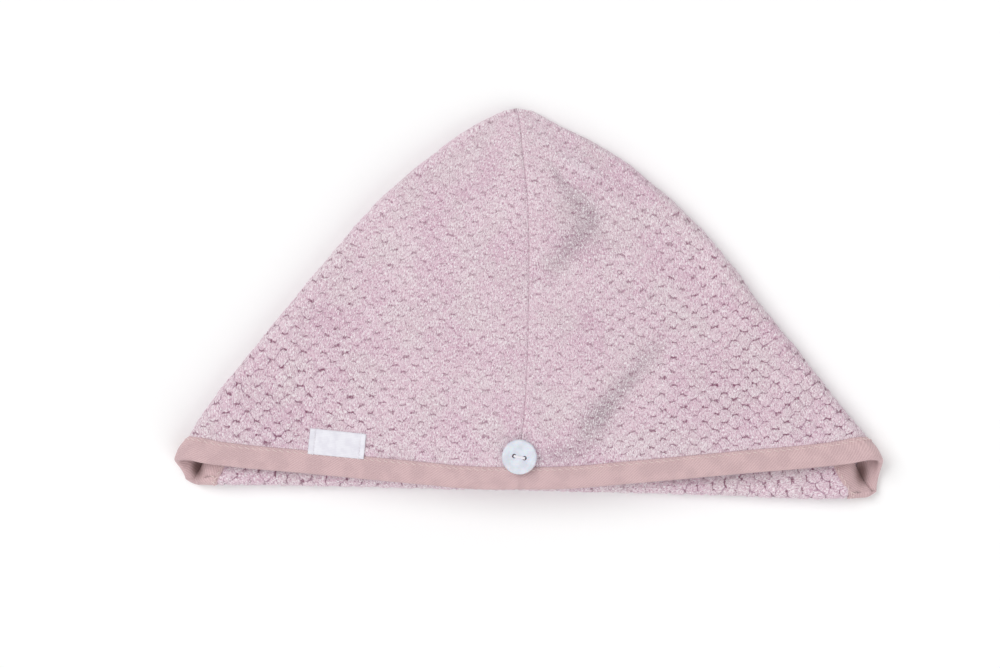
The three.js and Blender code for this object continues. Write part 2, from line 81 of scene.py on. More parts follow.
# The tape presses the cloth together, so its faces lie close to the cloth's own
TAPE_OUTER = 1.3
TAPE_INNER = 0.78
PRESSED = 0.6  # share of the cloth's thickness that is left under the tape

# Label
LABEL_WIDTH = 24.0
LABEL_HEIGHT = 10.5
LABEL_LAP = 1.0
LABEL_PLACE = 0.53
LABEL_LEAN = 0.11
LABEL_THICK = 0.35

# Stitches
STITCH_PITCH = 3.0
STITCH_INSET = 1.0
LABEL_STITCH_INSET = 2.3
BINDING_STITCH = {"Pitch": STITCH_PITCH, "Length": 2.0, "Thickness": 0.24}
LABEL_STITCH = {"Pitch": 1.4, "Length": 1.2, "Thickness": 0.14}

# Mesh spacings of a panel's outer face and of its hidden one, and the steps round the side fold
FINE = {"front": 0.62, "back": 1.0, "row": 0.66, "tail": 0.9, "fold": 18}
COARSE = {"front": 2.0, "back": 2.0, "row": 2.0, "tail": 2.0, "fold": 9}
LOWEST_ROW = -8.0  # the rows are spaced as they would be down to this level
FAR = 99.0  # for a point that a seam or an edge doesn't touch

SECTIONS = {
    "up": (-0.13, 0, 0.055, 0.15, 0.29, 0.43, 0.56, 0.7, 0.77, 0.87, 0.94, 0.985),
    "left": (1.022, 1, 0.968, 0.904, 0.789, 0.673, 0.561, 0.436, 0.362, 0.235, 0.133, 0.04),
    "right": (1.036, 1, 0.965, 0.889, 0.785, 0.675, 0.583, 0.459, 0.382, 0.255, 0.126, 0.045),
    "fold": (1, 1, 1, 1, 1, 1, 1, 1, 0.95, 0.7, 0.42, 0.12),
    "crown": (0.5, 0.6, 0.66, 0.78, 0.9, 0.98, 1, 0.92, 0.8, 0.5, 0.28, 0.05),
    "seam": (0.05, 0.19, 0.38, 0.65, 0.85, 0.94, 0.98, 0.91, 0.78, 0.46, 0.3, 0.1),
}
RIM = {"out": (0, 0.13, 0.26, 0.66, 0.91, 1), "drop": (1, 0.99, 0.88, 0.5, 0.27, 0.12)}
BOTTOM = {
    "across": (-1, -0.6, -0.2, 0.15, 0.6, 0.83, 1),
    "drop": (0.68, 0.7, 0.78, 0.84, 0.93, 1, 0.98),
}
TAIL = {
    "along": (0, 0.07, 0.2, 0.43, 0.7, 0.86, 0.93, 1),
    "half": (1, 0.976, 0.946, 0.89, 0.72, 0.5, 0.3, 0.12),
}
DENTS = {
    "right": (
        {"out": 0.36, "up": 0.68, "long": 0.13, "short": 0.07, "turn": -40, "depth": 0.75},
        {"out": 0.16, "up": 0.53, "long": 0.12, "short": 0.06, "turn": 70, "depth": 0.35},
        {"out": 0.38, "up": 0.2, "long": 0.26, "short": 0.06, "turn": 48, "depth": 0.45},
        {"out": 0.5, "up": 0.83, "long": 0.11, "short": 0.05, "turn": -42, "depth": -0.3},
    ),
    "left": (
        {"out": 0.54, "up": 0.47, "long": 0.16, "short": 0.12, "turn": 30, "depth": -0.5},
        {"out": 0.3, "up": 0.78, "long": 0.12, "short": 0.06, "turn": 45, "depth": 0.35},
    ),
}
SIDES = {
    "left": {"sign": -1, "reach": HOOD_WIDTH * LEFT_PART - EDGE_REACH, "taper": 0.03},
    "right": {"sign": 1, "reach": HOOD_WIDTH * (1 - LEFT_PART) - EDGE_REACH, "taper": 0.017},
}


def read(table, key, column, place):
    """A smooth curve through one column of a table, read at places along another."""
    keys = np.array(table[key], float)
    values = np.array(table[column], float)
    last = len(keys) - 1
    x = np.clip(place, keys[0], keys[-1])
    i = np.clip(np.searchsorted(keys, x) - 1, 0, last - 1)
    before = np.maximum(np.arange(last + 1) - 1, 0)
    after = np.minimum(np.arange(last + 1) + 1, last)
    slopes = (values[after] - values[before]) / (keys[after] - keys[before])
    span = keys[i + 1] - keys[i]
    t = (x - keys[i]) / span
    start = values[i] + slopes[i] * span * t
    end = values[i + 1] - slopes[i + 1] * span * (1 - t)
    return start + (end - start) * t * t * (3 - 2 * t)


def smoothstep(x, low, high):
    t = np.clip((x - low) / (high - low), 0, 1)
    return t * t * (3 - 2 * t)


def lerp(a, b, t):
    return a + (b - a) * t


def spot(dx, dy, turn, long, short):
    """1 in the middle of a slanting oval, fading out round it."""
    turn = math.radians(turn)
    along = (dx * math.cos(turn) + dy * math.sin(turn)) / long
    aside = (dy * math.cos(turn) - dx * math.sin(turn)) / short
    return np.exp(-2 * (along**2 + aside**2))


def section(side, y):
    """The side fold's radius and the flat part's half width at levels of one half."""
    up = y / TIP_HEIGHT
    radius = TIP_FOLD + (SIDE_FOLD - TIP_FOLD) * read(SECTIONS, "up", "fold", up)
    reach = SIDES[side]["reach"] * read(SECTIONS, "up", side, up) + FLARE * (1 - smoothstep(y, -2, 10))
    flat = reach - CLOTH / 2 - radius
    seam = SEAM_BOW * read(SECTIONS, "up", "seam", up)
    crown = CROWN * read(SECTIONS, "up", "crown", up)
    lift = (EDGE_HALF - CLOTH / 2) * (1 - smoothstep(y, *LIFT_FADE))
    return radius, flat, seam, crown, lift


def front_relief(side, out, y):
    """How high the dents and ridges of the front stand, which end at the seam and the fold."""
    height = np.zeros_like(out)
    for dent in DENTS[side]:
        flat = section(side, np.array(dent["up"] * TIP_HEIGHT))[1]
        dx = (out - dent["out"]) * flat * SIDES[side]["sign"]
        dy = y - dent["up"] * TIP_HEIGHT
        long, short = dent["long"] * TIP_HEIGHT, dent["short"] * TIP_HEIGHT
        height -= DENT * dent["depth"] * spot(dx, dy, dent["turn"], long, short)
    return height * smoothstep(out, 0, 0.12) * smoothstep(1 - out, 0, 0.25)


def back_height(side, x, y):
    """The height of the back's middle, which the tape lifts a little near its lower corners."""
    _, flat, _, _, lift = section(side, y)
    return CLOTH / 2 + lift * smoothstep(x / flat, 0.78, 0.92)


def hood(side, place, y):
    """The middle of the hood's cloth: 0 to 1 along the front, to 2 round the fold, to 3 behind."""
    sign = SIDES[side]["sign"]
    radius, flat, seam, crown, lift = section(side, y)
    base = CLOTH / 2 + lift
    out = np.clip(place, 0, 1)
    front_x = lerp(seam, sign * flat, out)
    front_z = base + 2 * radius + crown * (1 - out * out) ** 2 + front_relief(side, out, y)
    angle = np.pi * (1.5 - np.clip(place, 1, 2))
    fold_x = sign * (flat + radius * np.cos(angle))
    fold_z = base + radius * (1 + np.sin(angle))
    back_x = flat * (3 - np.clip(place, 2, 3))
    back_z = back_height(side, back_x, y)
    front = place <= 1
    fold = place <= 2
    x = np.where(front, front_x, np.where(fold, fold_x, sign * back_x))
    z = np.where(front, front_z, np.where(fold, fold_z, back_z))
    return np.stack([x, y + 0 * x, z], -1)


def tail_height(side, x):
    corner = section(side, np.array(0.0))[1]
    return lerp(TAIL_HEIGHT, CORNER_HEIGHT, smoothstep(x / corner, 0.93, 0.99))


def bottom_radius(side, x):
    return (tail_height(side, x) - back_height(side, x, 0 * x)) / 2


def fold_line(side, x):
    """Where the bottom fold begins, at distances from the centre line."""
    across = SIDES[side]["sign"] * x / (HOOD_WIDTH / 2)
    lowest = -BOTTOM_DROP * read(BOTTOM, "across", "drop", across)
    return lowest + bottom_radius(side, x) + CLOTH / 2


def corner_line(side):
    return fold_line(side, section(side, np.array(0.0))[1])


def tail(side, x, past):
    """The middle of the tail's cloth, at lengths past the line where the bottom fold begins."""
    radius = bottom_radius(side, x)
    turned = np.clip(past / BOTTOM_FOLD, 0, np.pi)
    straight = np.abs(past - turned * BOTTOM_FOLD)
    y = fold_line(side, x) - radius * np.sin(turned) + straight
    z = tail_height(side, x) - radius * (1 + np.cos(turned))
    return np.stack([SIDES[side]["sign"] * x, y, z], -1)


def tail_half(side, past):
    """The tail's half width at lengths past the bottom fold's beginning, rounded at that fold."""
    along = np.clip((past - FOLDED) / TAIL_LENGTH, 0, 1)
    corner = section(side, corner_line(side))[1]
    turned = np.clip(past / BOTTOM_FOLD, 0, np.pi)
    taper = 1 - SIDES[side]["taper"] * smoothstep(turned, 0, np.pi)
    return corner * taper * read(TAIL, "along", "half", along) - CORNER_CUT * np.sin(turned) ** 2


def edge_level(side, place):
    """The cloth's cut edge on the front and round the end of the side fold."""
    rim = -RIM_DROP * read(RIM, "out", "drop", np.minimum(place, 1)) + EDGE_REACH
    turned = np.clip(place - 1, 0, 1)
    return lerp(corner_line(side), rim, (1 - turned**3) ** CORNER_ROUND)


def facing(surface, sign, u, v):
    """Points of a surface with the directions that its outer face looks in."""
    step = 0.001
    du = surface(u + step, v) - surface(u - step, v)
    dv = surface(u, v + step) - surface(u, v - step)
    normal = sign * np.cross(du, dv)
    return surface(u, v), normal / np.linalg.norm(normal, axis=-1, keepdims=True)


def hood_facing(side, place, y):
    def surface(u, v):
        return hood(side, np.clip(u, 0, 3), v)
    return facing(surface, SIDES[side]["sign"], place, y)


def tail_facing(side, x, past):
    def surface(u, v):
        return tail(side, np.maximum(u, 0), v)
    return facing(surface, SIDES[side]["sign"], x, past)


# Where the drawing's zero lies in the frame
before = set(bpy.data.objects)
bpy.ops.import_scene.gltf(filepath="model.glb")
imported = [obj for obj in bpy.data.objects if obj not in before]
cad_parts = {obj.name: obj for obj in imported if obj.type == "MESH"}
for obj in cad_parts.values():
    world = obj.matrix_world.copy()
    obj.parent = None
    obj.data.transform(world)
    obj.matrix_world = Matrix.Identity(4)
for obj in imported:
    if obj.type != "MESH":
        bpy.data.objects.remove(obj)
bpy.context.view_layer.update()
LOOP_LOW, LOOP_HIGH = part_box("tail_loop")
PANEL_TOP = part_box("panel_left")[1]
SHIFT = np.array([500 * (LOOP_LOW[0] + LOOP_HIGH[0]), 1000 * PANEL_TOP[1] - TIP_HEIGHT, 0.0])


def to_frame(points):
    return (np.asarray(points) + SHIFT) / 1000


# Colours and nodes

MATH, VECTOR = "ShaderNodeMath", "ShaderNodeVectorMath"
RANGE, MIX = "ShaderNodeMapRange", "ShaderNodeMix"
NOISE, BUMP = "ShaderNodeTexNoise", "ShaderNodeBump"
ATTRIBUTE, SPLIT = "ShaderNodeAttribute", "ShaderNodeSeparateXYZ"
SMOOTH = {"interpolation_type": "SMOOTHSTEP"}
PLANE = {"noise_dimensions": "2D"}
TIMES = {"operation": "MULTIPLY"}
TIMES_PLUS = {"operation": "MULTIPLY_ADD"}
MINUS = {"operation": "SUBTRACT"}
RIB_WAVE = 6.98  # radians in a millimetre
WEFT_WAVE = 9.0


def colour(code):
    """An sRGB hex colour as linear red, green, blue and alpha."""
    parts = [int(code[i:i + 2], 16) / 255 for i in (1, 3, 5)]
    return [p / 12.92 if p <= 0.04045 else ((p + 0.055) / 1.055) ** 2.4 for p in parts] + [1.0]


def plug(tree, value, socket):
    """Links an output to an input, or gives the input a value of its own."""
    if isinstance(value, bpy.types.NodeSocket):
        tree.links.new(value, socket)
    else:
        socket.default_value = value


def add(tree, kind, *values, out=0, **named):
    """Adds a node and gives one of its outputs, or the node itself where out is None.

    Values go to its inputs in their order. Names in small letters are settings, others inputs.
    """
    node = tree.nodes.new(kind)
    for name, value in named.items():
        if name.islower():
            setattr(node, name, value)
    for socket, value in zip([s for s in node.inputs if s.enabled], values):
        plug(tree, value, socket)
    for name, value in named.items():
        if not name.islower():
            plug(tree, value, node.inputs[name.replace("_", " ")])
    if out is None:
        return node
    return node.outputs[out] if out else [s for s in node.outputs if s.enabled][0]


def new_material(name):
    material = bpy.data.materials.new(name)
    material.use_nodes = True
    return material, material.node_tree


def dress(tree, **inputs):
    """Gives the material's shader its values and links."""
    shader = tree.nodes["Principled BSDF"]
    for name, value in inputs.items():
        plug(tree, value, shader.inputs[name.replace("_", " ")])


def layered(tree, base, *layers):
    """Colours laid over a base.

    A layer has its source, the range it is read over, its share at either end, and its colour.
    """
    for *source, tint in layers:
        share = add(tree, RANGE, *source, **SMOOTH)
        base = add(tree, MIX, share, base, colour(tint), data_type="RGBA")
    return base


def puff_pattern(tree, cloth):
    """Popcorn weave from cloth coordinates in millimetres, for a shader or a geometry tree.

    Gives the distances to a puff's end and to its side, and a random number for each puff.
    """
    moved = cloth
    # The rows wander slowly, and the loops make each puff's outline ragged
    for scale, reach in WANDER:
        wander = add(tree, NOISE, cloth, scale, 1, out="Color", **PLANE)
        centred = add(tree, VECTOR, wander, (0.5, 0.5, 0.5), **MINUS)
        moved = add(tree, VECTOR, centred, (reach, reach, 0), moved, **TIMES_PLUS)
    counts = (1 / PUFF_WIDTH, 1 / PUFF_LENGTH, 0)
    size = (PUFF_WIDTH, PUFF_LENGTH, 0)
    half_back = (-PUFF_WIDTH / 2, -PUFF_LENGTH / 2, 0)
    own = []
    for start in (0.5, 1.0):
        turned = add(tree, VECTOR, moved, counts, (start, start, 0), **TIMES_PLUS)
        share = add(tree, VECTOR, turned, operation="FRACTION")
        place = add(tree, VECTOR, share, size, half_back, **TIMES_PLUS)
        own.append((place, add(tree, VECTOR, place, place, operation="DOT_PRODUCT")))
    (first, first_square), (second, second_square) = own
    nearer = add(tree, MATH, first_square, second_square, operation="LESS_THAN")
    place = add(tree, MIX, nearer, second, first, data_type="VECTOR")
    squares = add(tree, MATH, first_square, second_square, **MINUS)
    apart = add(tree, MATH, squares, operation="ABSOLUTE")
    side = add(tree, MATH, apart, 1 / math.hypot(PUFF_WIDTH, PUFF_LENGTH), **TIMES)
    across = add(tree, SPLIT, place, out="X")
    along = add(tree, MATH, add(tree, SPLIT, place, out="Y"), operation="ABSOLUTE")
    straight = add(tree, MATH, PUFF_LENGTH / 2, along, **MINUS)
    middle = add(tree, VECTOR, moved, place, **MINUS)
    twice = (2 / PUFF_WIDTH, 2 / PUFF_LENGTH, 0)
    counted = add(tree, VECTOR, middle, twice, (0.5, 0.5, 0), **TIMES_PLUS)
    whole = add(tree, VECTOR, counted, operation="FLOOR")
    chance = add(tree, "ShaderNodeTexWhiteNoise", whole, **PLANE)
    # The gap at a puff's end bows a little, by a different amount at each
    square = add(tree, MATH, across, across, **TIMES)
    near = add(tree, MATH, square, END_BOW_REACH, operation="MINIMUM")
    bow = add(tree, MATH, near, add(tree, RANGE, chance, 0, 1, *END_BOW, **SMOOTH), **TIMES)
    end = add(tree, MATH, straight, bow, **MINUS)
    # and closes up towards the puff's sides
    aside = add(tree, MATH, across, operation="ABSOLUTE")
    wide = add(tree, MATH, add(tree, MATH, aside, END_WIDTH, **MINUS), 0, operation="MAXIMUM")
    end = add(tree, MATH, wide, END_CLOSING, end, **TIMES_PLUS)
    return end, side, chance


def towelling_material():
    """Polyester microfibre, woven in popcorn puffs: soft, matt pile, with painted shade in the gaps
    between puffs.
    """
    material, tree = new_material("popcorn_microfibre")
    cloth = add(tree, ATTRIBUTE, attribute_name="weave", out="Vector")
    pile_and_shade = add(tree, ATTRIBUTE, attribute_name="pile_and_shade", out="Fac")
    end, side, chance = puff_pattern(tree, cloth)
    shown = add(tree, SPLIT, cloth, out="Z")
    # The pile's loops are about 0.2 mm wide; drawn at 0.3 to 0.5 mm, the finest that shows
    grain = add(tree, VECTOR, cloth, (2.7, 1.2, 0), **TIMES)
    pile = add(tree, NOISE, grain, 1, 3, Distortion=0.9, **PLANE)
    tufted = add(tree, VECTOR, cloth, TUFTS, **TIMES)
    tuft = add(tree, NOISE, tufted, 1, 2, **PLANE)
    drift = add(tree, NOISE, cloth, 0.035, 2, **PLANE)
    broad = add(tree, VECTOR, cloth, (0.055, 0.055, 0), **TIMES)
    haze = add(tree, NOISE, broad, 1, 2, **PLANE)
    spread = add(tree, VECTOR, cloth, (0.22, 0.22, 0), **TIMES)
    parted = add(tree, NOISE, spread, 1, 1, **PLANE)
    base = layered(
        tree, colour("#e8ccd8"),
        (drift, 0.35, 0.65, 0, 1, "#dfbccd"),
        (haze, 0.42, 0.66, 0, 0.5, "#e2d3d6"),
        # Painted shade where this value is above 0 (dents, right side fold, corner hollows, partly the
        # pile lying over), painted light where below 0 (a ridge and the tail)
        (pile_and_shade, 0, 1, 0, 1, "#a09097"),
        (pile_and_shade, 0, -1, 0, 1, "#f7eaf1"),
        (chance, 0, 1, 0, 0.2, "#f8e8f0"),
        (tuft, 0.35, 0.65, 0.26, 0, "#b48fa1"),
        (pile, 0.32, 0.47, 0.66, 0, "#a06a88"),
        (pile, 0.5, 0.64, 0, 0.85, "#fbf5f8"),
    )
    # Painted shade in the deep gaps beside and between the puffs, each by what makes it fainter or
    # darker. The columns part further where the cloth bends towards the side folds
    side_gap_shade = ((side, 0, 0.36, 1, 0), (parted, 0.42, 0.66, 0.1, 0.5), (shown, 0.85, 1, 0.6, 1.7))
    end_gap_shade = ((end, 0.12, 0.5, 1, 0), (chance, 0, 0.6, 0.5, 1), (pile, 0.38, 0.62, 1, 0.6))
    for sources, tint in ((side_gap_shade, "#9a6a86"), (end_gap_shade, "#7c3a5b")):
        share = shown
        for source in sources:
            share = add(tree, MATH, share, add(tree, RANGE, *source, **SMOOTH), **TIMES)
        base = add(tree, MIX, share, base, colour(tint), data_type="RGBA")
    height = add(tree, MATH, tuft, 1.2, pile, **TIMES_PLUS)
    bump = add(tree, BUMP, Strength=0.7, Distance=0.00045, Height=height)
    dress(tree, Base_Color=base, Normal=bump, Roughness=0.95, Specular_IOR_Level=0.25)
    dress(tree, Sheen_Weight=0.3, Sheen_Roughness=0.6)
    return material


def twill_material():
    """Cotton-polyester twill tape: matt, with fine slanting ribs."""
    material, tree = new_material("cotton_twill_tape")
    tape = add(tree, ATTRIBUTE, attribute_name="tape", out="Vector")
    hollow = add(tree, ATTRIBUTE, attribute_name="hollow", out="Fac")
    # A twill rib is about 0.5 mm wide; drawn at 0.9 mm, the finest that shows
    ribs = (RIB_WAVE * 0.62, -RIB_WAVE * 0.78, 0)
    slant = add(tree, VECTOR, tape, ribs, operation="DOT_PRODUCT")
    rib = add(tree, MATH, slant, operation="SINE")
    cloudy = add(tree, NOISE, tape, 0.12, 2, **PLANE)
    fine = add(tree, NOISE, tape, 2.2, 2, **PLANE)
    base = layered(
        tree, colour("#d8b9bb"),
        (cloudy, 0.35, 0.65, 0, 1, "#ccaeb1"),
        (rib, -1, 1, 0, 0.42, "#af8b90"),
        (fine, 0.4, 0.7, 0, 0.35, "#e7cecd"),
        # Painted shade deep in the corner hollows, where little light reaches
        (hollow, 0, 1, 0, 0.9, "#5f423f"),
    )
    height = add(tree, MATH, fine, 0.6, rib, **TIMES_PLUS)
    bump = add(tree, BUMP, Strength=0.4, Distance=0.00012, Height=height)
    dress(tree, Base_Color=base, Normal=bump, Roughness=0.85)
    dress(tree, Specular_IOR_Level=0.3, Sheen_Weight=0.15)
    return material


def object_millimetres(tree):
    place = add(tree, "ShaderNodeTexCoord", out="Object")
    return add(tree, VECTOR, place, (1000, 1000, 1000), **TIMES)


def button_material():
    """Polyester resin button, moulded and polished: pearly white with a soft shine."""
    material, tree = new_material("polyester_resin")
    cloud = add(tree, NOISE, object_millimetres(tree), 0.25, 3)
    base = layered(tree, colour("#d5d9e3"), (cloud, 0.35, 0.65, 0, 1, "#e1e5ee"))
    dress(tree, Base_Color=base, Roughness=0.5, IOR=1.56, Coat_Weight=0.05, Coat_Roughness=0.3)
    dress(tree, Subsurface_Weight=0.2, Subsurface_Scale=0.0015)
    return material


def thread_material(name, light, dark):
    """Spun polyester sewing thread: slightly glossy strands twisted together."""
    material, tree = new_material(name)
    fine = add(tree, VECTOR, object_millimetres(tree), (5, 5, 5), **TIMES)
    strand = add(tree, NOISE, fine, 1, 2)
    bump = add(tree, BUMP, Strength=0.4, Distance=0.0001, Height=strand)
    base = layered(tree, colour(light), (strand, 0.3, 0.7, 0, 1, dark))
    dress(tree, Base_Color=base, Normal=bump, Roughness=0.6, Sheen_Weight=0.2)
    return material


def satin_material():
    """Woven polyester satin: bright white, with a faint rib across it."""
    material, tree = new_material("polyester_satin")
    place = add(tree, ATTRIBUTE, attribute_name="label", out="Vector")
    weft = add(tree, VECTOR, place, (0, WEFT_WAVE, 0), operation="DOT_PRODUCT")
    rib = add(tree, MATH, weft, operation="SINE")
    cloud = add(tree, NOISE, place, 0.3, 2, **PLANE)
    base = layered(
        tree, colour("#eeedf4"),
        (cloud, 0.3, 0.7, 0, 1, "#e5e3ec"),
        (rib, -1, 1, 0, 0.15, "#d0ccda"),
    )
    bump = add(tree, BUMP, Strength=0.2, Distance=0.00008, Height=rib)
    dress(tree, Base_Color=base, Normal=bump, Roughness=0.45, Sheen_Weight=0.25)
    return material


def elastic_material():
    """Woven elastic: ribs of covered rubber along the band."""
    material, tree = new_material("woven_elastic")
    light, dark = colour("#d0b7c1"), colour("#b99fab")
    place = object_millimetres(tree)
    weave = add(tree, "ShaderNodeTexChecker", place, light, dark, 1.6, out=None).outputs
    bump = add(tree, BUMP, Strength=0.4, Distance=0.0001, Height=weave["Fac"])
    dress(tree, Base_Color=weave["Color"], Normal=bump, Roughness=0.7, Sheen_Weight=0.15)
    return material


# Meshes

def make_object(name, points, faces, material, edges=()):
    """An object from points in millimetres, with its faces turned outwards."""
    mesh = bpy.data.meshes.new(name)
    mesh.from_pydata([tuple(p) for p in to_frame(points)], edges, [tuple(f) for f in faces])
    mesh.materials.append(material)
    mesh.polygons.foreach_set("use_smooth", [True] * len(mesh.polygons))
    thing = bpy.data.objects.new(name, mesh)
    bpy.context.collection.objects.link(thing)
    if faces:
        shell = bmesh.new()
        shell.from_mesh(mesh)
        bmesh.ops.recalc_face_normals(shell, faces=shell.faces)
        shell.to_mesh(mesh)
        shell.free()
    return thing


def store(thing, name, values):
    """Keeps a value or a vector for each vertex."""
    values = np.asarray(values, np.float32)
    kind, field = ("FLOAT", "value") if values.ndim == 1 else ("FLOAT_VECTOR", "vector")
    attribute = thing.data.attributes.new(name, kind, "POINT")
    attribute.data.foreach_set(field, values.ravel())


def settle(thing):
    """Leaves what an object's modifiers make of it as its plain mesh."""
    graph = bpy.context.evaluated_depsgraph_get()
    mesh = bpy.data.meshes.new_from_object(thing.evaluated_get(graph), depsgraph=graph)
    thing.modifiers.clear()
    thing.data = mesh


def new_geometry_tree(name, *sizes):
    """A geometry tree with named sizes; gives the tree and the outputs of its group input."""
    tree = bpy.data.node_groups.new(name, "GeometryNodeTree")
    for way in ("INPUT", "OUTPUT"):
        tree.interface.new_socket("Geometry", in_out=way, socket_type="NodeSocketGeometry")
    for size in sizes:
        tree.interface.new_socket(size, in_out="INPUT", socket_type="NodeSocketFloat")
    return tree, add(tree, "NodeGroupInput", out=None).outputs


def apply_tree(thing, tree, sizes):
    """Runs a geometry tree on an object, with its named sizes in millimetres."""
    modifier = thing.modifiers.new(tree.name, "NODES")
    modifier.node_group = tree
    for socket in tree.interface.items_tree:
        if socket.name in sizes:
            modifier[socket.identifier] = sizes[socket.name] / 1000
    settle(thing)


def fill(faces, a, b, along_a, along_b):
    """Fills the strip between two lines of points with triangles by going along both at once."""
    i = j = 0
    while i < len(a) - 1 or j < len(b) - 1:
        if j == len(b) - 1 or (i < len(a) - 1 and along_a[i + 1] <= along_b[j + 1]):
            faces.append((a[i], a[i + 1], b[j]))
            i += 1
        else:
            faces.append((a[i], b[j + 1], b[j]))
            j += 1


def join_rings(faces, a, b, sides):
    """Joins two rings of points, which begin at the numbers a and b."""
    for i in range(sides):
        n = (i + 1) % sides
        faces.append((a + i, a + n, b + n, b + i))


def loft(points, faces, rings):
    """Adds a solid through rings of points, with flat ends."""
    start, sides = len(points), len(rings[0])
    for ring in rings:
        points.extend(ring)
    end = len(points) - sides
    for a in range(start, end, sides):
        join_rings(faces, a, a + sides, sides)
    faces.append(tuple(range(start, start + sides))[::-1])
    faces.append(tuple(range(end, end + sides)))


def around(sides):
    """The cosine and sine of each step round a circle."""
    angles = [2 * math.pi * i / sides for i in range(sides)]
    return [(math.cos(angle), math.sin(angle)) for angle in angles]


# The front's columns lean outwards and its rows slope, ever more above a level of the weave
BENDS = {
    "left": {"lean": 0.00165, "lean_from": -55, "slope": 0, "more": 0.0021, "more_from": -50},
    "right": {"lean": 0.0022, "lean_from": 0, "slope": 0.04, "more": 0.0035, "more_from": 0},
}
ROW_REACH = 150.0  # the rows' slope fades out sideways over this length
BACK_TURN = 15.0


def front_weave(side, x, y):
    """Cloth coordinates of the front: its columns and rows run as the photo shows."""
    sign, bend = SIDES[side]["sign"], BENDS[side]
    level = y - WEAVE_LEVEL
    lean = bend["lean"] * np.maximum(level - bend["lean_from"], 0) ** 2
    slope = bend["slope"] + bend["more"] * np.maximum(level - bend["more_from"], 0)
    return x + sign * lean, level - slope * ROW_REACH * (1 - np.exp(-sign * x / ROW_REACH))


def back_weave(side, x, down):
    """Cloth coordinates behind and on the tail: the side fold turns the columns crosswise."""
    turn = math.radians(BACK_TURN)
    inward = -SIDES[side]["sign"] * x
    along = inward * math.cos(turn) - down * math.sin(turn)
    return inward * math.sin(turn) + down * math.cos(turn), along


# Patches of painted shade along the dents and folds, where the pile also lies over, and of painted
# highlight on a ridge where negative
SHADE_AND_PILE_PATCHES = (
    {"x": 46, "y": 31, "long": 42, "short": 8, "turn": 50, "strength": 0.55},
    {"x": 34, "y": 16, "long": 16, "short": 13, "turn": 55, "strength": 0.4},
    {"x": 17, "y": 1, "long": 22, "short": 7, "turn": 6, "strength": 0.4},
    {"x": 27, "y": 109, "long": 17, "short": 8, "turn": -48, "strength": 0.65},
    {"x": 24, "y": 91, "long": 23, "short": 9, "turn": 50, "strength": 0.65},
    {"x": 17, "y": 121, "long": 12, "short": 4, "turn": -62, "strength": 0.45},
    {"x": 26, "y": 124, "long": 17, "short": 7, "turn": -39, "strength": -0.55},
)


def shade_and_pile_share(x, y):
    share = 0 * x
    for patch in SHADE_AND_PILE_PATCHES:
        dx, dy = x - patch["x"], y - patch["y"]
        share += patch["strength"] * spot(dx, dy, patch["turn"], patch["long"], patch["short"])
    return share


# Painted shade in the dark hollows inside the two corners: middle and half sizes in millimetres
HOLLOWS = (
    {"x": -138.2, "y": -5.5, "wide": 3.2, "tall": 4.6},
    {"x": 149.2, "y": -7.5, "wide": 3.4, "tall": 6.0},
)


def painted_hollow_shade(points):
    """Painted shade: 1 deep in a corner's hollow, where little light reaches, and 0 outside."""
    share = np.zeros(len(points))
    for hollow in HOLLOWS:
        dx = (points[:, 0] - hollow["x"]) / hollow["wide"]
        dy = (points[:, 1] - hollow["y"]) / hollow["tall"]
        share = np.maximum(share, np.exp(-(dx**2 + dy**2)))
    return share * (1 - smoothstep(points[:, 2], 9, 13))


def under_label(x, y):
    """1 where the label presses the pile flat, 0 beyond it."""
    _, flat, seam, _, _ = section("left", y)
    rim = edge_level("left", np.clip((x - seam) / (-flat - seam), 0, 1))
    up = y - rim - TAPE_REACH + LABEL_LAP
    across = x + LABEL_PLACE * SIDES["left"]["reach"] - LABEL_LEAN * up
    inside = np.minimum(LABEL_WIDTH / 2 - np.abs(across), LABEL_HEIGHT - up)
    return smoothstep(inside, -1.0, 0.6)


def steps_to(width, spacing):
    """Places at a spacing from 0, with the last at the width itself."""
    count = max(int(math.ceil(width / spacing - 0.4)), 1)
    places = np.arange(count + 1) * spacing
    places[-1] = width
    return places


def hood_rows(side, grid):
    """Rows across the hood, from its tip to the rim and the bottom fold, and their places."""
    rows, all_places, levels = [], [], []
    total = 1
    for t in np.linspace(0, 1, int(round((TIP_RING + 10) / grid["row"])) + 1):
        _, flat, seam, _, _ = section(side, np.array(lerp(TIP_RING, LOWEST_ROW, t)))
        front = steps_to(flat - SIDES[side]["sign"] * seam, grid["front"])
        back = steps_to(flat, grid["back"])
        fold = np.arange(grid["fold"] + 1)
        places = np.concatenate([
            front / front[-1], 1 + fold[1:-1] / fold[-1], 3 - back[::-1] / back[-1],
        ])
        behind = np.clip(3 - places, 0, 1) * tail_half(side, np.array(0.0))
        rim = edge_level(side, np.minimum(places, 2))
        end = np.where(places > 2, fold_line(side, behind), rim)
        all_places.append(places)
        levels.append(lerp(TIP_RING, end, t))
        numbers = np.arange(total, total + len(places))
        first, last = len(front), len(front) + fold[-1]
        rows.append({
            "front": (numbers[:first], front),
            "fold": (numbers[first - 1:last], fold),
            "back": (numbers[last - 1:][::-1], back),
        })
        total += len(places)
    return rows, np.concatenate(all_places), np.concatenate(levels)


def tail_rows(side, grid, total):
    """Rows across the tail, round the bottom fold and on to its end, and their places."""
    rows, all_x, all_past = [], [], []
    bottom = np.linspace(0, FOLDED, max(int(9 / grid["row"]), 6) + 1)[1:]
    beyond = np.linspace(0, 1, int(TAIL_LENGTH / grid["tail"]) + 1)[1:]
    for past, along in [(past, 0.0) for past in bottom] + [(FOLDED, along) for along in beyond]:
        back = steps_to(tail_half(side, np.array(past + along * TAIL_LENGTH)), grid["back"])
        share = back / back[-1]
        exact = past + along * (TAIL_LENGTH - TAIL_END_BOW * share**4)
        all_x.append(share * tail_half(side, exact))
        all_past.append(exact)
        rows.append({"back": (np.arange(total, total + len(back)), back)})
        total += len(back)
    return rows, np.concatenate(all_x), np.concatenate(all_past)


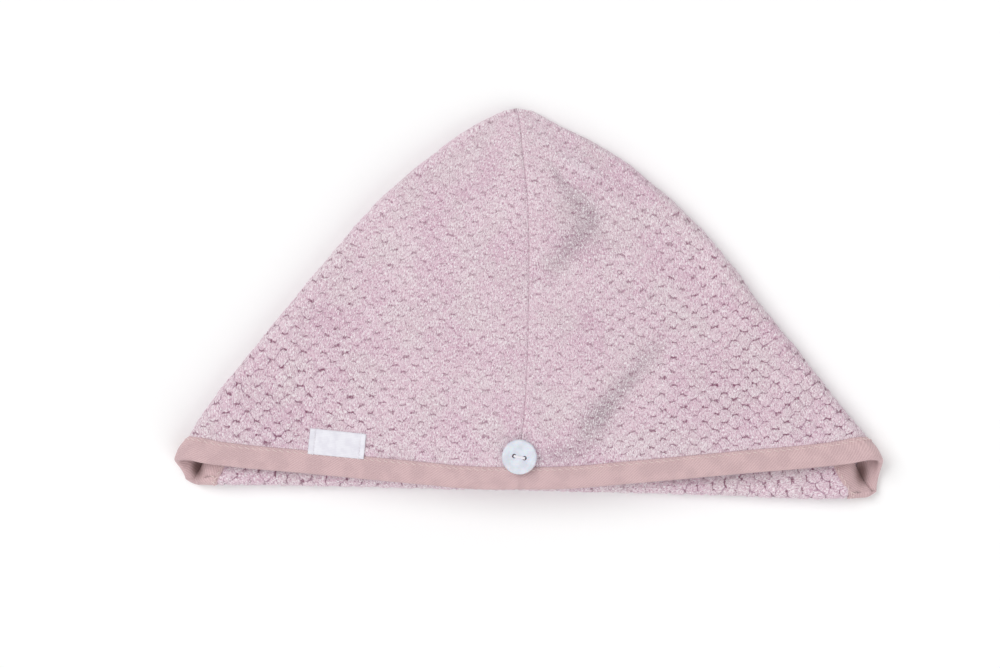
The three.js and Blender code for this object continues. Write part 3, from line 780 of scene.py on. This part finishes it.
def gaps_to_edges(side, place, y, x, past):
    """How far each point lies from the seam, and from the cloth's cut edge."""
    _, flat, seam, _, _ = section(side, y)
    front = place * (flat - SIDES[side]["sign"] * seam)
    behind = flat * (3 - place)
    to_seam = np.where(place <= 1, front, np.where(place >= 2, behind, FAR))
    to_rim = np.where(place <= 2, y - edge_level(side, np.minimum(place, 2)), FAR)
    to_side = tail_half(side, past) - x
    to_end = np.where(past < FOLDED, FAR, FOLDED + TAIL_LENGTH - past)
    edge = np.concatenate([to_rim, np.minimum(to_side, to_end)])
    # The back of the side fold's end lies under the tape too
    corner = np.where((place > 1.6) & (place < 2.3), np.maximum(y - CORNER_LEVEL, 0), FAR)
    return np.concatenate([to_seam, x]), np.minimum(edge, np.concatenate([corner, FAR + 0 * x]))


def half_thickness(place, past, seam_gap, free, outward):
    """Rolled down into the seam, pressed thin under the tape, and less beneath for the puffs."""
    reach = np.clip(1 - seam_gap / SEAM_ROLL, 0, 1)
    rolled = lerp(SEAM_DEPTH, 1, np.sqrt(1 - reach**2))
    half = CLOTH / 2 * lerp(PRESSED, 1, free) * rolled
    under = np.concatenate([smoothstep(place, 1.6, 2.0), 1 - smoothstep(past, 1.0, 5.0)])
    return half - UNDER_SINK * under * free * (outward > 0)


def weave_places(side, middle, place, y, x, past):
    """Cloth coordinates; the side fold's arc counts as flat cloth."""
    sign = SIDES[side]["sign"]
    radius, flat, _, _, _ = section(side, y)
    hood_x = middle[:len(y), 0]
    arc = np.pi * radius * np.clip(place - 1, 0, 1)
    front = front_weave(side, hood_x * (place <= 1) + sign * (flat + arc) * (place > 1), y)
    back = back_weave(side, hood_x, WEAVE_LEVEL - y)
    folded = back_weave(side, sign * x, WEAVE_LEVEL - fold_line(side, x) + past)
    return [np.concatenate([np.where(place >= 2, b, f), t]) for f, b, t in zip(front, back, folded)]


def puffs_shown(side, middle, place, x, seam_gap, free):
    """1 where the puffs stand out in full: fewer near the middle, and none at edges or the label."""
    # The columns turn where the side fold ends, so no puff crosses that line
    jump = np.concatenate([smoothstep(np.abs(place - 2) * 18, 0.3, 2.0), 1 + 0 * x])
    covered = 0
    if side == "left":
        covered = under_label(middle[:, 0], middle[:, 1]) * np.concatenate([place <= 1, 0 * x])
    outwards = np.abs(middle[:, 0]) + 0.35 * (50 - middle[:, 1])
    strength = (1 - covered) * lerp(0.55, 1.0, smoothstep(outwards, 10, 110))
    return free * jump * smoothstep(seam_gap, 0.2, SEAM_ROLL) * strength


def pile_lie_and_shade(side, points, place, x):
    """How dark the cloth is painted: the pile's lie with painted shade at the dents, painted shade on
    the right side fold and 1 deep in a corner's hollow, and painted light on the tail.
    """
    front = np.concatenate([place <= 1.5, 0 * x])
    # Painted shade on the right side fold, where it turns away from the light
    turned = np.concatenate([smoothstep(place, 0.93, 1.25), 0 * x]) * (side == "right")
    pile_and_shade = (shade_and_pile_share(points[:, 0], points[:, 1]) + 0.1 * turned) * front
    # Painted light on the tail, against the shade that the rim casts on it
    pile_and_shade += np.concatenate([0 * place, -0.1 + 0 * x])
    # Painted shade deep in the corners' hollows
    return lerp(pile_and_shade, 1, painted_hollow_shade(points))


def panel_face(faces, side, outward, grid):
    """One face of a half of the hood, from its tip to the rim and the tail's end.

    Gives its points, cloth coordinates, pile lie with painted shade and light, and its borders as
    lists of point numbers.
    """
    rows, place, y = hood_rows(side, grid)
    tails, x, past = tail_rows(side, grid, len(place) + 1)
    both = zip(hood_facing(side, place, y), tail_facing(side, x, past))
    middle, normal = [np.concatenate(pair) for pair in both]
    seam_gap, edge_gap = gaps_to_edges(side, place, y, x, past)
    free = smoothstep(edge_gap, TAPE_REACH - 0.4, TAPE_REACH + 2.2)
    half = half_thickness(place, past, seam_gap, free, outward)
    points = middle + normal * half[:, None] * outward
    u, v = weave_places(side, middle, place, y, x, past)
    weave = np.stack([u, v, puffs_shown(side, middle, place, x, seam_gap, free)], -1)
    pile_and_shade = np.concatenate([[0], pile_lie_and_shade(side, points, place, x)])
    tip = [[0, TIP_HEIGHT - (0 if outward > 0 else 1.5), CLOTH / 2 + TIP_FOLD]]
    points = np.concatenate([tip, points])
    weave = np.concatenate([[[u[0], v[0], 0]], weave])
    parts = ("front", "fold", "back")
    for part in parts:
        fill(faces, [0], rows[0][part][0], [0], rows[0][part][1])
    for upper, lower in zip(rows[:-1], rows[1:]):
        for part in parts:
            fill(faces, upper[part][0], lower[part][0], upper[part][1], lower[part][1])
    tails = [rows[-1]] + tails
    for upper, lower in zip(tails[:-1], tails[1:]):
        fill(faces, upper["back"][0], lower["back"][0], upper["back"][1], lower["back"][1])
    behind = [row["back"][0][0] for row in rows[:-1] + tails]
    borders = (
        [0] + [row["front"][0][0] for row in rows],
        rows[-1]["front"][0],
        rows[-1]["fold"][0],
        [row["back"][0][-1] for row in tails],
        tails[-1]["back"][0][::-1],
        behind[::-1] + [0],
    )
    return points, weave, pile_and_shade, borders


def lengths_along(points, line):
    steps = np.linalg.norm(np.diff(points[line], axis=0), axis=1)
    far = np.concatenate([[0], np.cumsum(steps)])
    return far / far[-1]


def make_panel(side, material, relief):
    faces, inner_faces = [], []
    outer = panel_face(faces, side, 1, FINE)
    inner = panel_face(inner_faces, side, -1, COARSE)
    points, weave, pile_and_shade = [np.concatenate(pair) for pair in zip(outer[:3], inner[:3])]
    count = len(outer[0])
    faces += [tuple(n + count for n in face) for face in inner_faces]
    for a, b in zip(outer[3], inner[3]):
        b = [n + count for n in b]
        fill(faces, a, b, lengths_along(points, a), lengths_along(points, b))
    panel = make_object(f"cloth_{side}", points, faces, material)
    store(panel, "weave", weave)
    store(panel, "pile_and_shade", pile_and_shade)
    apply_tree(panel, relief, {"Puff Height": PUFF_HEIGHT})
    return panel


def popcorn_tree():
    """Raises the puffs of the weave from the cloth's face."""
    tree, given = new_geometry_tree("popcorn_relief", "Puff Height")
    cloth = add(tree, "GeometryNodeInputNamedAttribute", "weave", data_type="FLOAT_VECTOR")
    end, side, chance = puff_pattern(tree, cloth)
    across = add(tree, RANGE, side, 0, 1.6, 0.72, 1, **SMOOTH)
    full = add(tree, MATH, add(tree, RANGE, end, 0, 1, 0.12, 1, **SMOOTH), across, **TIMES)
    varied = add(tree, MATH, full, add(tree, RANGE, chance, 0, 1, 0.75, 1.1, **SMOOTH), **TIMES)
    tufted = add(tree, VECTOR, cloth, TUFTS, **TIMES)
    tuft = add(tree, MATH, add(tree, NOISE, tufted, 1, 1, **PLANE), 0.5, **MINUS)
    ragged = add(tree, MATH, tuft, 1.1, varied, **TIMES_PLUS)
    # The puffs rise from a little below the cloth's face, so that the gaps between them sink
    centred = add(tree, MATH, ragged, 0.6, **MINUS)
    level = add(tree, MATH, centred, add(tree, SPLIT, cloth, out="Z"), **TIMES)
    rise = add(tree, MATH, level, given["Puff Height"], **TIMES)
    offset = add(tree, VECTOR, add(tree, "GeometryNodeInputNormal"), rise, operation="SCALE")
    moved = add(tree, "GeometryNodeSetPosition", given["Geometry"], Offset=offset)
    add(tree, "NodeGroupOutput", moved, out=None)
    return tree


# Binding

def tape_section():
    """The folded tape's section: how far in from the cloth's edge, and the height off its middle."""
    inwards = np.linspace(TAPE_REACH, 0, 9)
    turn = np.linspace(0, np.pi, 9)[1:-1]
    thick = TAPE_OUTER - TAPE_INNER
    centre = (TAPE_OUTER + TAPE_INNER) / 2
    cap = np.linspace(-np.pi / 2, np.pi / 2, 5)[1:-1]
    outer = [(i, TAPE_OUTER) for i in inwards]
    outer += [(-EDGE_REACH * math.sin(a), TAPE_OUTER * math.cos(a)) for a in turn]
    outer += [(i, -TAPE_OUTER) for i in inwards[::-1]]
    outer += [(TAPE_REACH + math.cos(a) * thick / 2, -centre + math.sin(a) * thick / 2) for a in cap]
    inner = [(i, -TAPE_INNER) for i in inwards]
    inner += [(-(EDGE_REACH - thick) * math.sin(a), -TAPE_INNER * math.cos(a)) for a in turn]
    inner += [(i, TAPE_INNER) for i in inwards[::-1]]
    inner += [(TAPE_REACH + math.cos(a) * thick / 2, centre + math.sin(a) * thick / 2) for a in cap]
    return outer + inner


def tape_track(side, inward):
    """The binding's way round one half, walked inwards from the cloth's edge by a distance."""
    front = np.linspace(0, 1, 150)
    parts = [hood_facing(side, front, edge_level(side, front) + inward)]
    fold = 1 + np.arange(1, 41) / 40
    turn = np.pi / 2 * (fold - 1) ** 3
    level = edge_level(side, fold) + inward * np.cos(turn)
    radius, flat, _, _, _ = section(side, level)
    far = fold + inward * np.sin(turn) / (np.pi * radius)
    walked = np.where(far <= 2, far, 2 + (far - 2) * np.pi * radius / flat)
    parts.append(hood_facing(side, walked, level))
    bottom = np.linspace(0, FOLDED, 15)[1:]
    parts.append(tail_facing(side, tail_half(side, bottom) - inward, bottom))
    along = np.sin(np.pi / 2 * np.linspace(0, 1, 61)[1:])
    past = bottom[-1] + (TAIL_LENGTH - TAIL_END_BOW) * along
    x = tail_half(side, past)
    share = np.linspace(1, 0, 41)[1:]
    end_past = bottom[-1] + TAIL_LENGTH - TAIL_END_BOW * share**4
    x = np.concatenate([x, share * tail_half(side, end_past)])
    past = np.concatenate([past, end_past])
    run_x, run_past = np.gradient(x), np.gradient(past)
    run_x[-1], run_past[-1] = -1, 0
    size = np.hypot(run_x, run_past)
    parts.append(tail_facing(side, x - inward * run_past / size, past + inward * run_x / size))
    return [np.concatenate(part) for part in zip(*parts)]


def closed_track(inward):
    left = tape_track("left", inward)
    right = tape_track("right", inward)
    return [np.concatenate([a, b[1:-1][::-1]]) for a, b in zip(left, right)]


def make_binding(material):
    edge, edge_normal = closed_track(0.0)
    outward = edge - closed_track(0.5)[0]
    outward /= np.linalg.norm(outward, axis=1, keepdims=True)
    far = np.concatenate([[0], np.cumsum(np.linalg.norm(np.diff(edge, axis=0), axis=1))])
    # Small puckers where the stitches draw the tape down
    stitched = 0.06 * np.sin(2 * np.pi * far / STITCH_PITCH)
    pucker = stitched + 0.08 * np.sin(far / 5.3) * np.sin(far / 2.9)
    # Creases where it turns round the end of each side fold
    inside = np.ptp(edge[:, 0]) / 2 - np.abs(edge[:, 0] - edge[:, 0].mean())
    creased = np.exp(-((3 - inside) / 5) ** 2) * (edge[:, 2] < 15)
    crease = 0.3 * np.sin(2 * np.pi * far / 3.4 + 0.8 * np.sin(far)) * creased
    turns = tape_section()
    rings, coordinates, faces = [], [], []
    across = 0.0
    for (inward, height), before in zip(turns, turns[:1] + turns[:-1]):
        across += math.hypot(inward - before[0], height - before[1])
        middle, normal = (edge, edge_normal) if inward <= 0 else closed_track(inward)
        drawn = pucker * math.exp(-((inward - TAPE_REACH + 1) / 2.5) ** 2)
        lifted = height + math.copysign(1, height) * drawn
        lifted += crease * min(max(inward / TAPE_REACH, 0), 1)
        rings.append(middle + normal * lifted[:, None] - outward * min(inward, 0))
        coordinates.append(np.stack([far, 0 * far + across, 0 * far], -1))
    count = len(edge)
    for number in range(len(rings)):
        join_rings(faces, number * count, (number + 1) % len(rings) * count, count)
    points = np.concatenate(rings)
    binding = make_object("twill_binding", points, faces, material)
    store(binding, "tape", np.concatenate(coordinates))
    # Painted shade in the corner hollows
    store(binding, "hollow", painted_hollow_shade(points))
    return binding


def stitch_tree(material):
    """Sews a row of stitches along a line of points that keep their facing direction."""
    tree, given = new_geometry_tree(f"stitches_{material.name}", "Pitch", "Length", "Thickness")
    line = add(tree, "GeometryNodeMeshToCurve", given["Geometry"])
    spaced = add(tree, "GeometryNodeResampleCurve", line, Length=given["Pitch"], mode="LENGTH")
    tangent = add(tree, "GeometryNodeInputTangent")
    up = add(tree, "GeometryNodeInputNamedAttribute", "facing", data_type="FLOAT_VECTOR")
    lie = add(tree, "FunctionNodeAlignRotationToVector", Vector=tangent, axis="X")
    stand = add(
        tree, "FunctionNodeAlignRotationToVector",
        Rotation=lie, Vector=up, axis="Z", pivot_axis="X",
    )
    slant = add(
        tree, "FunctionNodeRotateRotation",
        Rotation=stand, Rotate_By=(0, 0, math.radians(-20)), rotation_space="LOCAL",
    )
    half = add(tree, MATH, given["Length"], 0.5, **TIMES)
    back = add(tree, MATH, given["Length"], -0.5, **TIMES)
    top = add(tree, MATH, given["Thickness"], 2.6, **TIMES)
    low = add(tree, MATH, given["Thickness"], -0.8, **TIMES)
    arch = add(
        tree, "GeometryNodeCurveQuadraticBezier", Resolution=5,
        Start=add(tree, "ShaderNodeCombineXYZ", X=back, Z=low),
        Middle=add(tree, "ShaderNodeCombineXYZ", Z=top),
        End=add(tree, "ShaderNodeCombineXYZ", X=half, Z=low),
    )
    ring = add(
        tree, "GeometryNodeCurvePrimitiveCircle", Resolution=6, Radius=given["Thickness"],
    )
    thread = add(tree, "GeometryNodeCurveToMesh", arch, Profile_Curve=ring, Fill_Caps=True)
    placed = add(
        tree, "GeometryNodeInstanceOnPoints", Points=spaced, Instance=thread, Rotation=slant,
    )
    solid = add(tree, "GeometryNodeRealizeInstances", placed)
    dressed = add(tree, "GeometryNodeSetMaterial", solid, Material=material)
    add(tree, "NodeGroupOutput", dressed, out=None)
    return tree


def sew(name, points, normals, material, sizes, closed=False):
    """A row of stitches along a line of points."""
    count = len(points)
    ends = [(i, (i + 1) % count) for i in range(count if closed else count - 1)]
    row = make_object(name, points, [], material, ends)
    store(row, "facing", normals)
    apply_tree(row, stitch_tree(material), sizes)
    return row


def make_binding_stitches(material):
    middle, normal = closed_track(TAPE_REACH - STITCH_INSET)
    line = middle + normal * (TAPE_OUTER + 0.05)
    return sew("binding_stitches", line, normal, material, BINDING_STITCH, closed=True)


# Label

def label_point(across, up):
    """A place on the label, with the way it faces; it lies on the cloth and laps the tape."""
    x = across - LABEL_PLACE * SIDES["left"]["reach"] + LABEL_LEAN * up
    _, flat, seam, _, _ = section("left", up)
    level = edge_level("left", (x - seam) / (-flat - seam))
    y = level + TAPE_REACH - LABEL_LAP + up
    _, flat, seam, _, _ = section("left", y)
    middle, normal = hood_facing("left", (x - seam) / (-flat - seam), y)
    seat = lerp(TAPE_OUTER + 0.3, CLOTH / 2 + 0.25, smoothstep(up, 1.0, 3.0))
    return middle, normal, seat


def make_label(material):
    columns, rows = 49, 22
    u, v = np.meshgrid(np.linspace(-0.5, 0.5, columns), np.linspace(0, 1, rows), indexing="ij")
    across, up = u.ravel() * LABEL_WIDTH, v.ravel() * LABEL_HEIGHT
    middle, normal, seat = label_point(across, up)
    ripple = 0.12 * np.sin(across / 2.1 + up / 3) * smoothstep(up, 1, 4)
    edge = np.minimum(LABEL_WIDTH / 2 - np.abs(across), LABEL_HEIGHT - up)
    aside = LABEL_WIDTH / 2 - LABEL_STITCH_INSET
    drawn = 0.18 * np.exp(-((aside - np.abs(across)) / 0.7) ** 2)
    height = seat + ripple - drawn + 0.12 * (1 - smoothstep(edge, 0, 1))
    top = middle + normal * (height + LABEL_THICK / 2)[:, None]
    low = middle + normal * (height - LABEL_THICK / 2)[:, None]
    faces = []
    count = columns * rows
    for i in range(columns - 1):
        for j in range(rows - 1):
            a, b = i * rows + j, (i + 1) * rows + j
            faces.append((a, b, b + 1, a + 1))
            faces.append((count + a, count + a + 1, count + b + 1, count + b))
    border = [i * rows for i in range(columns)]
    border += [(columns - 1) * rows + j for j in range(1, rows)]
    border += [i * rows + rows - 1 for i in range(columns - 2, -1, -1)]
    border += [j for j in range(rows - 2, 0, -1)]
    for a, b in zip(border, border[1:] + border[:1]):
        faces.append((a, count + a, count + b, b))
    label = make_object("woven_label", np.concatenate([top, low]), faces, material)
    place = np.stack([across, up, 0 * up], -1)
    store(label, "label", np.concatenate([place, place]))
    return label


def make_label_stitches(material):
    """A line of small white stitches holds down each short end of the label."""
    ends = []
    aside = LABEL_WIDTH / 2 - LABEL_STITCH_INSET
    up = np.linspace(0.3, LABEL_HEIGHT - 0.3, 12)
    for number, across in ((1, -aside), (2, aside)):
        middle, normal, seat = label_point(across + 0 * up, up)
        points = middle + normal * (seat + LABEL_THICK / 2 - 0.05)[:, None]
        ends.append(sew(f"label_stitches_{number}", points, normal, material, LABEL_STITCH))
    return ends


# Button

BUTTON_DIAMETER = 15.0
BUTTON_THICKNESS = 2.6
BUTTON_DISH = 0.8
BUTTON_RIM = 0.45  # what shows of the dish's depth beside its soft rim
BUTTON_LIP = 1.6
BUTTON_EDGE = 0.8  # the radius that its outer edge is rounded with
DISH_SLOPE = 1.6
BUTTON_LAP = 2.8
BUTTON_TURN = -12
HOLE_DIAMETER = 2.0
HOLE_SPACING = 4.5
BUTTON_SINK = 0.8  # the real one is drawn down into the pile


def button_place():
    """The matrix that carries a shape from the button's own origin to the seam above the rim."""
    level = edge_level("left", np.array(0.0)) + TAPE_REACH - BUTTON_LAP + BUTTON_DIAMETER / 2
    middle, normal = hood_facing("left", np.array(0.0), level)
    seat = middle + normal * (EDGE_HALF + 0.3 - BUTTON_SINK)
    turn = Vector((0, 0, 1)).rotation_difference(Vector(normal)).to_matrix()
    spin = Matrix.Rotation(math.radians(BUTTON_TURN), 3, "Z")
    return np.array(seat), np.array(turn @ spin)


def place_on_button(points):
    seat, turn = button_place()
    return seat + np.asarray(points) @ turn.T


def button_profile():
    """Half of the button's section, from the middle of its underside round to its dish."""
    radius, top = BUTTON_DIAMETER / 2, BUTTON_THICKNESS
    edge = BUTTON_EDGE
    profile = [(r, 0) for r in np.linspace(0, radius - edge, 6)]
    for a in np.linspace(-90, 90, 13)[1:-1]:
        rise = top / 2 + (top / 2) * math.sin(math.radians(a))
        profile.append((radius - edge + edge * math.cos(math.radians(a)), rise))
    inner = radius - BUTTON_LIP
    profile.append((radius - edge, top))
    for share in np.linspace(0, 1, 7):
        sunk = (BUTTON_DISH - BUTTON_RIM) * float(smoothstep(np.array(share), 0, 1))
        profile.append((inner - DISH_SLOPE * share, top - 0.04 - sunk))
    dish = profile[-1][1]
    profile += [(r, dish) for r in np.linspace(inner - DISH_SLOPE, 0, 5)[1:]]
    return profile


def make_button(material):
    profile = button_profile()
    sides = 72
    points, faces = [(0, 0, profile[0][1])], []
    for radius, height in profile[1:-1]:
        points += [(radius * c, radius * s, height) for c, s in around(sides)]
    points.append((0, 0, profile[-1][1]))
    top = len(points) - 1 - sides
    for i in range(sides):
        n = (i + 1) % sides
        faces.append((0, 1 + n, 1 + i))
        for a in range(1, top, sides):
            faces.append((a + i, a + n, a + sides + n, a + sides + i))
        faces.append((top + i, top + n, len(points) - 1))
    button = make_object("resin_button", place_on_button(points), faces, material)
    drill = make_drill(material)
    cut = button.modifiers.new("holes", "BOOLEAN")
    cut.operation = "DIFFERENCE"
    cut.solver = "MANIFOLD"
    cut.object = drill
    settle(button)
    bpy.data.objects.remove(drill)
    button.data.set_sharp_from_angle(angle=math.radians(40))
    return button


def make_drill(material):
    """Two waisted cutters, so that the rims of the holes are rounded over."""
    levels = (
        (-1.0, 1.5), (0.0, 1.1), (0.3, 0.92), (0.6, 0.86),
        (1.5, 0.86), (1.8, 0.88), (2.15, 0.98), (3.0, 1.3),
    )
    points, faces = [], []
    for middle in (-HOLE_SPACING / 2, HOLE_SPACING / 2):
        rings = []
        for height, swell in levels:
            radius = HOLE_DIAMETER / 2 * swell
            rings.append([(middle + radius * c, radius * s, height) for c, s in around(24)])
        loft(points, faces, rings)
    return make_object("drill", place_on_button(points), faces, material)


def tube(points, faces, route, radius, sides):
    """Adds a round tube with closed ends along a route of points."""
    run = np.gradient(route, axis=0)
    run /= np.linalg.norm(run, axis=1, keepdims=True)
    aside = np.cross(run, [0, 1, 0])
    aside /= np.linalg.norm(aside, axis=1, keepdims=True)
    rings = []
    for centre, a, b in zip(route, aside, np.cross(aside, run)):
        rings.append([centre + radius * (c * a + s * b) for c, s in around(sides)])
    loft(points, faces, rings)


def make_button_thread(material):
    """Four strands cross from hole to hole over the dish and go down to the cloth."""
    reach = HOLE_SPACING / 2 + 0.1
    dish = BUTTON_THICKNESS - BUTTON_DISH + BUTTON_RIM
    points, faces = [], []
    t = np.linspace(-1, 1, 33)
    down = smoothstep(np.abs(t), 0.5, 1.0)
    for aside, rise in ((-0.36, -0.06), (-0.12, 0.1), (0.12, 0.05), (0.36, -0.08)):
        x = reach * np.sin(np.pi / 2 * np.clip(t * 1.6, -1, 1))
        z = lerp(dish + 0.2 + rise, -1.6, down**1.3)
        tube(points, faces, np.stack([x, aside * (1 - 0.35 * down), z], -1), 0.18, 8)
    return make_object("button_strands", place_on_button(points), faces, material)


# Elastic loop

LOOP_BAND = 5.0
LOOP_TUCK = 1.4  # how far the band's two ends run into the tail's end


def make_loop(material):
    """A flat band of elastic bent into a loop at the tail's end, with softly rounded edges."""
    low = np.array(LOOP_LOW) * 1000 - SHIFT
    high = np.array(LOOP_HIGH) * 1000 - SHIFT
    outer = (high[0] - low[0]) / 2
    centre_x, centre_z = (low[0] + high[0]) / 2, (low[2] + high[2]) / 2
    start, straight = low[1] - LOOP_TUCK, high[1] - outer
    middle = outer - LOOP_BAND / 2
    # Along the band's middle: where it is, and the way its outer edge looks
    route = [(-middle, y, -1, 0) for y in np.linspace(start, straight, 12)]
    for angle in np.linspace(math.pi, 0, 33)[1:-1]:
        c, s = math.cos(angle), math.sin(angle)
        route.append((middle * c, straight + middle * s, c, s))
    route += [(middle, y, 1, 0) for y in np.linspace(straight, start, 12)]
    section_points = []
    for c, s in around(24):
        out = math.copysign(abs(c) ** 0.35, c) * LOOP_BAND / 2
        rise = math.copysign(abs(s) ** 0.6, s) * (high[2] - low[2]) / 2
        section_points.append((out, rise))
    rings = []
    for x, y, nx, ny in route:
        rings.append([
            (centre_x + x + nx * out, y + ny * out, centre_z + rise) for out, rise in section_points
        ])
    points, faces = [], []
    loft(points, faces, rings)
    return make_object("elastic_loop", points, faces, material)


# Camera, light and ground

FRAME_WIDTH = 0.43  # what the photo's width shows at the towel's height, in metres
FACE_HEIGHT = 0.012  # the towel's height where that width is measured
LENS, SENSOR = 85, 36
CAMERA_OVER = (-0.0123, -0.0131)
# Each lamp's direction, its width in degrees and its power
LAMPS = {"key": ((-0.75, 0.45, 1.0), 36, 1.3), "fill": ((0.6, -0.9, 0.9), 60, 0.87)}
SKY = 0.54


def make_camera():
    data = bpy.data.cameras.new("camera")
    data.lens = LENS
    data.sensor_width = SENSOR
    camera = bpy.data.objects.new("camera", data)
    bpy.context.collection.objects.link(camera)
    camera.location = (*CAMERA_OVER, FRAME_WIDTH * LENS / SENSOR + FACE_HEIGHT)
    bpy.context.scene.camera = camera


def make_light(name, direction, spread, power):
    data = bpy.data.lights.new(name, "SUN")
    data.angle = math.radians(spread)
    data.energy = power
    lamp = bpy.data.objects.new(name, data)
    lamp.rotation_euler = Vector(direction).to_track_quat("Z", "Y").to_euler()
    bpy.context.collection.objects.link(lamp)


def make_surroundings():
    ground = bpy.data.meshes.new("ground")
    ground.from_pydata([(-3, -3, 0), (3, -3, 0), (3, 3, 0), (-3, 3, 0)], [], [(0, 1, 2, 3)])
    material, tree = new_material("white_paper")
    dress(tree, Base_Color=colour("#ffffff"), Roughness=0.9, Specular_IOR_Level=0.1)
    ground.materials.append(material)
    floor = bpy.data.objects.new("ground", ground)
    bpy.context.collection.objects.link(floor)
    world = bpy.data.worlds.new("studio")
    world.use_nodes = True
    world.node_tree.nodes["Background"].inputs["Color"].default_value = (1, 1, 1, 1)
    world.node_tree.nodes["Background"].inputs["Strength"].default_value = SKY
    bpy.context.scene.world = world
    for name, lamp in LAMPS.items():
        make_light(name, *lamp)
    bpy.context.scene.view_settings.view_transform = "Standard"


make_camera()
make_surroundings()

towelling = towelling_material()
twill = twill_material()
top_thread = thread_material("binding_thread", "#ead5d2", "#d9c0bf")
white_thread = thread_material("white_thread", "#faf8fb", "#e6e0e8")

relief = popcorn_tree()
cloth_left = make_panel("left", towelling, relief)
cloth_right = make_panel("right", towelling, relief)
binding = make_binding(twill)
binding_stitches = make_binding_stitches(top_thread)
label = make_label(satin_material())
label_stitches = make_label_stitches(white_thread)
button = make_button(button_material())
button_thread = make_button_thread(white_thread)
loop = make_loop(elastic_material())

PIECES = (
    (cloth_left, "panel_left", "towelling"),
    (cloth_right, "panel_right", "towelling"),
    (binding, "rim_binding", "binding"),
    (binding_stitches, None, "thread"),
    (label, "label", "label"),
    (label_stitches[0], None, "thread"),
    (label_stitches[1], None, "thread"),
    (button, "button", "button"),
    (button_thread, "button_thread", "thread"),
    (loop, "tail_loop", "elastic"),
)
for piece, node, finish in PIECES:
    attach(piece, "root")
    if node:
        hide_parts(node)
